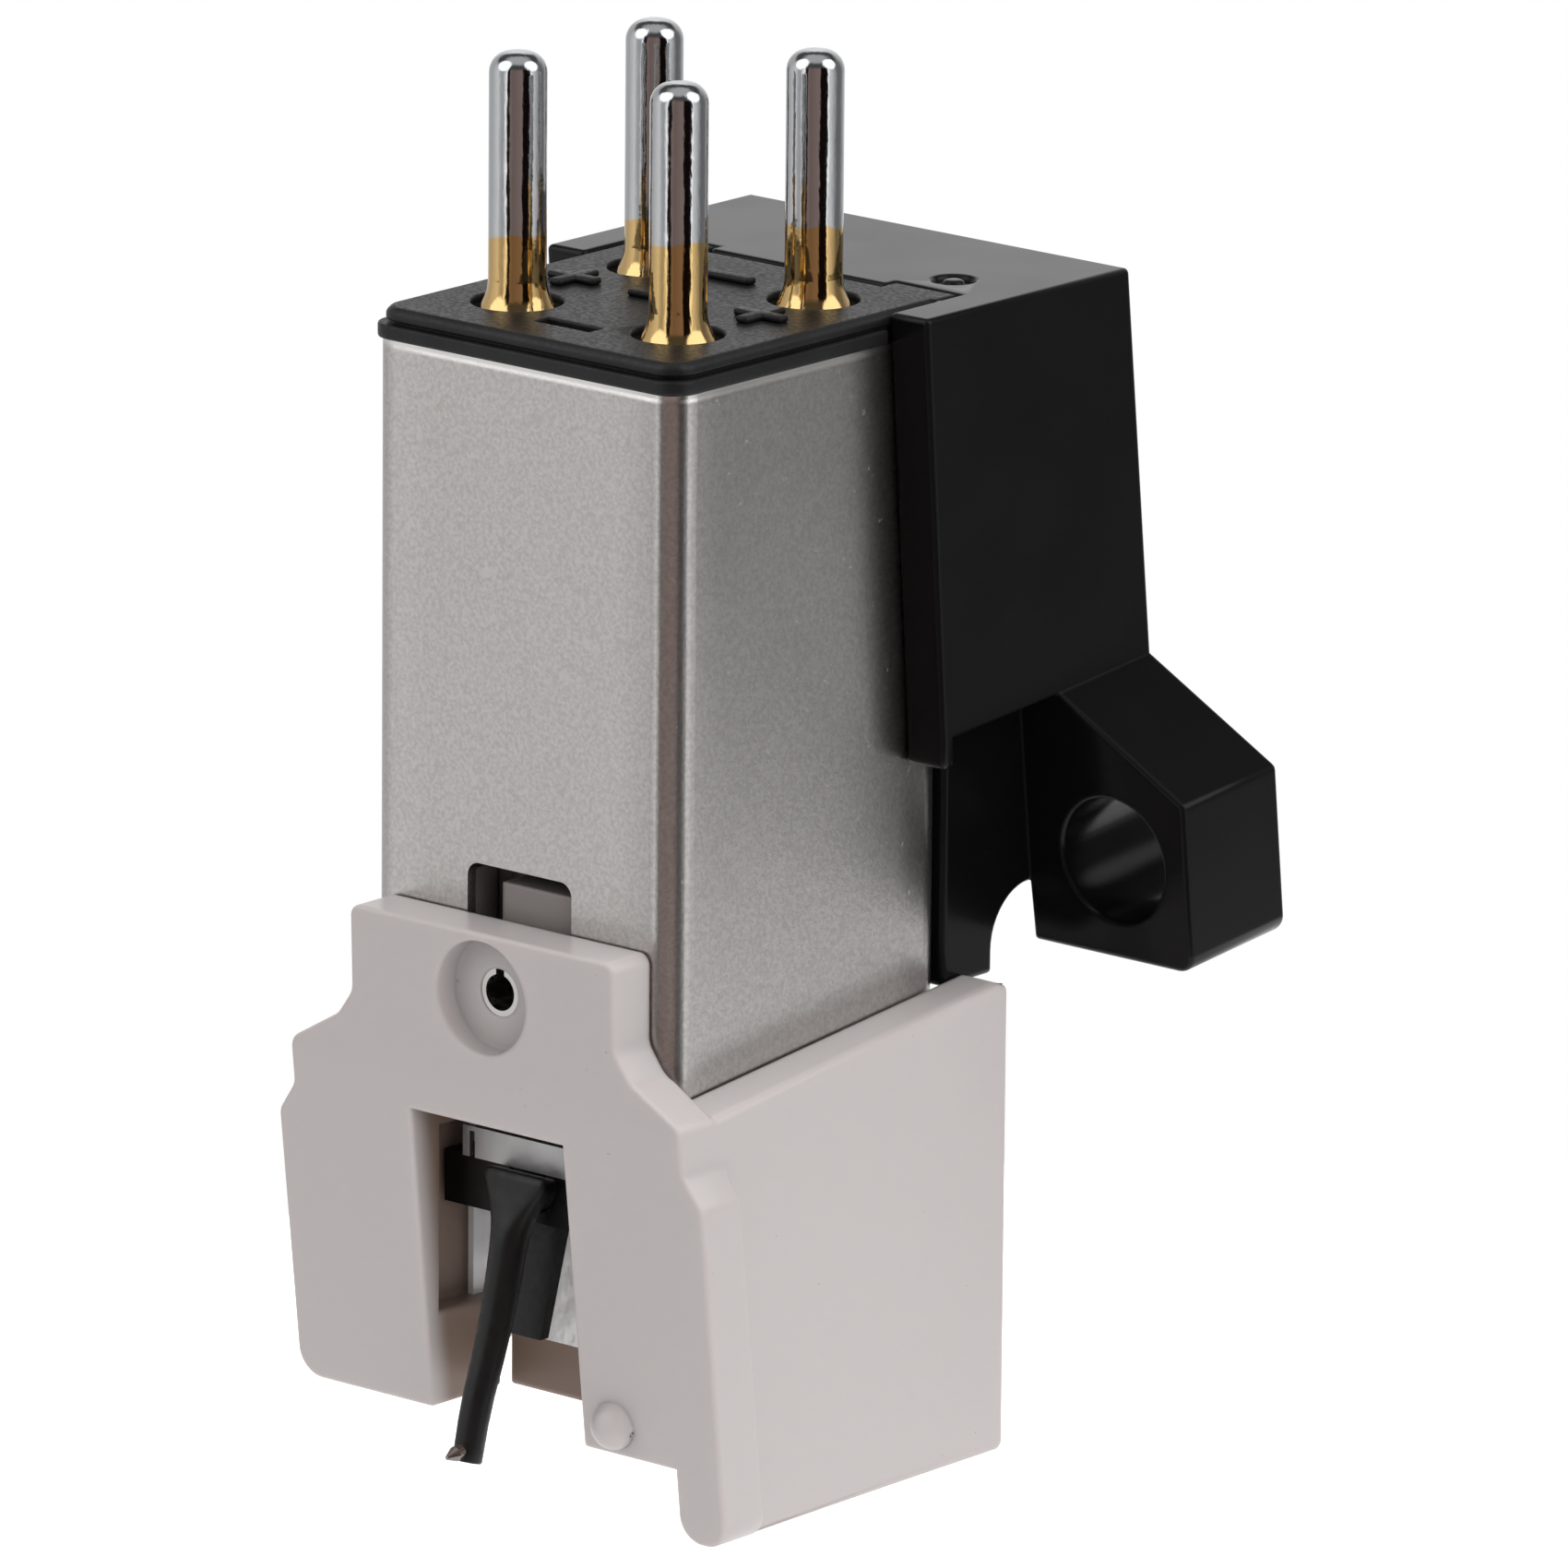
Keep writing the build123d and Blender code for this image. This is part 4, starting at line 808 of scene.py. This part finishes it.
class CARTRIDGE_OT_cantilever(bpy.types.Operator):
    """The black lever with its diamond, and the yoke and magnets at its other end"""

    bl_idname = "cartridge.cantilever"
    bl_label = "Cantilever"

    def execute(self, context):
        lever = dark_plastic("carbon_filled_nylon", "#0C0B0B", 0.36, 0.25, 0.003)
        yoke = dark_plastic("nylon_black_yoke", "#080808", 0.4, 0.2, 0.003)
        magnet = dark_plastic("alnico_sintered", "#4A4A4E", 0.45, 0.08, 0.004)
        piece_from(
            lever_mesh(), "lever_arm", lever, "cantilever_unit", "cantilever"
        )
        assign(nodes_named("magnet_yoke"), yoke)
        assign(nodes_named("left_magnet", "right_magnet"), magnet)
        assign(nodes_named("stylus"), diamond())
        return {"FINISHED"}


FLOOR_DROP_MM = 30.0
FLOOR_RADIUS_MM = 95.0
FLOOR_GLOW = 0.3
WHITE = (1.0, 1.0, 1.0)


def floor_material():
    """Matt white card that the camera sees as plain white, apart from the shadow on it."""
    _, colours, _ = settings()
    material, tree, shader, _ = new_material(
        "card_white", colours.floor, Roughness=0.9, Specular_IOR_Level=0.0
    )
    seen = add_node(tree, "LightPath", {}).outputs["Is Camera Ray"]
    level = add_node(tree, "Math", {0: seen, 1: FLOOR_GLOW}, operation="MULTIPLY")
    glow = add_node(tree, "Emission", {"Color": WHITE, "Strength": level})
    both = add_node(tree, "AddShader", {0: shader, 1: glow})
    fill(tree, tree.nodes["Material Output"], {"Surface": both})
    return material


# What shiny faces see around the part, by the angle in degrees from the side that the part is seen
# from: plus is to the left. A dark room lies on that side, with white walls left, right and behind.
ROOM = (
    (-180, "#FFFFFF", 1.0),
    (-142, "#FFFFFF", 0.6),
    (-116, "#FFFFFF", 0.22),
    (-95, "#FFFFFF", 0.21),
    (-83, "#FFFFFF", 0.48),
    (-66, "#FFFFFF", 0.85),
    (-57, "#FFFFFF", 0.95),
    (-53, "#FFFFFF", 1.9),
    (-49, "#1C1412", 0.6),
    (-21, "#1C1412", 0.6),
    (-17, "#A08D87", 0.85),
    (18, "#8E7A74", 0.85),
    (29, "#A08D85", 0.85),
    (32, "#1C1614", 0.7),
    (41, "#1C1614", 0.7),
    (47, "#FFFFFF", 1.7),
    (52, "#FFFFFF", 1.0),
    (60, "#FFFFFF", 0.5),
    (72, "#FFFFFF", 0.6),
    (84, "#FFFFFF", 0.95),
    (120, "#FFFFFF", 0.6),
    (150, "#FFFFFF", 0.6),
    (180, "#FFFFFF", 1.0),
)


# Above the walls is a dim ceiling, lighter in its middle. Heights are sines of the angle above the
# can's own level. A lit box hangs on each side of it, towards the camera, and its edge is given by
# the cosine of the angle from its middle. Diffuse light sees an even grey instead of the room.
WALLS_END = (0.42, 0.62)
CEILING_MIDDLE = (0.75, 0.95)
CEILING_LEVELS = (0.09, 0.6)
BOX_TOWARDS_CAMERA = 0.3
BOX_UP = 0.9
BOX_EDGE = (0.87, 0.93)
BOX_LEVEL = 1.9
DIFFUSE_LEVEL = 0.42


def make_world(towards_camera, leftwards, upwards):
    """White for the camera, even grey for diffuse light, and a room with dark sides for gloss."""
    world = bpy.data.worlds.new("studio")
    world.use_nodes = True
    tree = world.node_tree
    path = add_node(tree, "LightPath", {}).outputs
    direction = add_node(tree, "TexCoord", {}).outputs["Generated"]
    along, aside, height = [
        add_node(tree, "VectorMath", {0: direction, 1: axis}, operation="DOT_PRODUCT")
        for axis in (towards_camera, leftwards, upwards)
    ]
    angle = add_node(tree, "Math", {0: aside, 1: along}, operation="ARCTAN2")
    turn = add_node(tree, "MapRange", {0: angle, 1: -math.pi, 2: math.pi, 3: 0.0, 4: 1.0})
    room = add_node(tree, "ValToRGB", {"Fac": turn})
    stops = room.color_ramp.elements
    stops.remove(stops[1])
    for index, (degrees, hex_colour, level) in enumerate(ROOM):
        stop = stops.new(degrees / 360 + 0.5) if index else stops[0]
        stop.color = [part * level for part in linear(hex_colour)] + [1.0]
    dim, light = [(level,) * 3 for level in CEILING_LEVELS]
    steps = [
        add_node(tree, "MapRange", {0: height, 1: low, 2: high, 3: 0.0, 4: 1.0}, **SOFT)
        for low, high in (CEILING_MIDDLE, WALLS_END)
    ]
    ceiling = add_node(tree, "Mix", {0: steps[0], 6: dim, 7: light}, data_type="RGBA")
    room = add_node(tree, "Mix", {0: steps[1], 6: room, 7: ceiling}, data_type="RGBA")
    for side in (-1, 1):
        way = leftwards * side + towards_camera * BOX_TOWARDS_CAMERA + upwards * BOX_UP
        inputs = {0: direction, 1: way.normalized()}
        near = add_node(tree, "VectorMath", inputs, operation="DOT_PRODUCT")
        inputs = {0: near, 1: BOX_EDGE[0], 2: BOX_EDGE[1], 3: 0.0, 4: 1.0}
        box = add_node(tree, "MapRange", inputs, **SOFT)
        room = add_node(tree, "Mix", {0: box, 6: room, 7: (BOX_LEVEL,) * 3}, data_type="RGBA")
    inputs = {0: path["Is Diffuse Ray"], 6: room, 7: (DIFFUSE_LEVEL,) * 3}
    lit = add_node(tree, "Mix", inputs, data_type="RGBA")
    seen = add_node(tree, "Mix", {0: path["Is Camera Ray"], 6: lit, 7: WHITE}, data_type="RGBA")
    fill(tree, tree.nodes["Background"], {"Color": seen})
    bpy.context.scene.world = world


# Name, direction from the part, distance, side of the square, watts, and seen by glossy rays.
LIGHTS = (
    ("left_light", (-0.6, -0.75, 0.5), 350, 260, 0.155, False),
    ("right_light", (0.9, -0.35, 0.45), 350, 260, 0.59, False),
    ("top_light", (0.0, 0.35, 1.0), 350, 260, 1.2, False),
    ("low_card", (0.56, 0.56, -0.6), 75, 50, 0.0028, True),
)


def area_light(aim, name, towards, distance_mm, size_mm, watts, glossy):
    """A square soft light at a distance from a point, turned to it."""
    light = bpy.data.lights.new(name, "AREA")
    light.shape = "SQUARE"
    light.size = size_mm * MM
    light.energy = watts
    lamp = bpy.data.objects.new(name, light)
    bpy.context.scene.collection.objects.link(lamp)
    way = Vector(towards).normalized()
    lamp.location = aim + way * distance_mm * MM
    lamp.rotation_euler = way.to_track_quat("Z", "Y").to_euler()
    lamp.visible_glossy = glossy
    lamp.visible_camera = False


class CARTRIDGE_OT_stage(bpy.types.Operator):
    """The floor, the lights and the camera"""

    bl_idname = "cartridge.stage"
    bl_label = "Stage"

    def execute(self, context):
        _, _, view = settings()
        low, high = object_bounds()
        middle = (low + high) / 2
        card = bmesh.new()
        bmesh.ops.create_circle(card, cap_ends=True, segments=96, radius=FLOOR_RADIUS_MM * MM)
        below = (middle.x, middle.y, low.z - FLOOR_DROP_MM * MM)
        bmesh.ops.translate(card, vec=below, verts=card.verts)
        data = bpy.data.meshes.new("floor")
        card.to_mesh(data)
        card.free()
        floor = bpy.data.objects.new("floor", data)
        context.scene.collection.objects.link(floor)
        data.materials.append(floor_material())
        floor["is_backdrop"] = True

        turn = Matrix.Rotation(-TILT, 3, "X")
        cos_a, sin_a = math.cos(view.azimuth), math.sin(view.azimuth)
        cos_e, sin_e = math.cos(view.elevation), math.sin(view.elevation)
        ahead = Vector((-sin_a * cos_e, cos_a * cos_e, -sin_e))
        level = Vector((cos_a, sin_a, 0.0))
        above = level.cross(ahead)
        right = math.cos(view.roll) * level + math.sin(view.roll) * above
        up = math.cos(view.roll) * above - math.sin(view.roll) * level
        eye = right * view.aim_right - up * view.aim_down - ahead * view.distance
        columns = [turn @ axis for axis in (right, up, -ahead)]
        lens = bpy.data.cameras.new("camera")
        lens.lens = view.lens
        lens.sensor_width = 36.0
        lens.clip_start = 10 * MM
        lens.clip_end = 5.0
        camera = bpy.data.objects.new("camera", lens)
        context.scene.collection.objects.link(camera)
        place = Matrix(columns).transposed().to_4x4()
        place.translation = turn @ eye + CAN_ORIGIN_MM * MM
        camera.matrix_world = place
        context.scene.camera = camera

        upwards = turn @ Vector((0.0, 0.0, 1.0))
        leftwards = turn @ Vector((-cos_a, -sin_a, 0.0))
        towards_camera = turn @ Vector((sin_a, -cos_a, 0.0))
        make_world(towards_camera, leftwards, upwards)
        for light in LIGHTS:
            area_light(middle, *light)
        context.scene.view_settings.view_transform = "Standard"
        return {"FINISHED"}


class CARTRIDGE_PT_panel(bpy.types.Panel):
    """Steps and settings of the cartridge"""

    bl_idname = "CARTRIDGE_PT_panel"
    bl_label = "Cartridge"
    bl_space_type = "VIEW_3D"
    bl_region_type = "UI"
    bl_category = "Cartridge"

    def draw(self, context):
        for operator in OPERATORS:
            self.layout.operator(operator.bl_idname)
        for group in settings():
            box = self.layout.box()
            for name in group.__annotations__:
                box.prop(group, name)


OPERATORS = (
    CARTRIDGE_OT_bracket,
    CARTRIDGE_OT_can,
    CARTRIDGE_OT_cap,
    CARTRIDGE_OT_pins,
    CARTRIDGE_OT_generator,
    CARTRIDGE_OT_holder,
    CARTRIDGE_OT_suspension,
    CARTRIDGE_OT_cantilever,
    CARTRIDGE_OT_stage,
)
GROUPS = (CartridgeSizes, CartridgeColours, CartridgeView)
CLASSES = GROUPS + OPERATORS + (CARTRIDGE_PT_panel,)


def register():
    for each in CLASSES:
        bpy.utils.register_class(each)
    bpy.types.Scene.cartridge_sizes = bpy.props.PointerProperty(type=CartridgeSizes)
    bpy.types.Scene.cartridge_colours = bpy.props.PointerProperty(type=CartridgeColours)
    bpy.types.Scene.cartridge_view = bpy.props.PointerProperty(type=CartridgeView)


def unregister():
    del bpy.types.Scene.cartridge_view
    del bpy.types.Scene.cartridge_colours
    del bpy.types.Scene.cartridge_sizes
    for each in reversed(CLASSES):
        bpy.utils.unregister_class(each)


def main():
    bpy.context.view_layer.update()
    register()
    for operator in OPERATORS:
        getattr(bpy.ops.cartridge, operator.bl_idname.split(".")[1])()


if __name__ == "__main__":
    main()
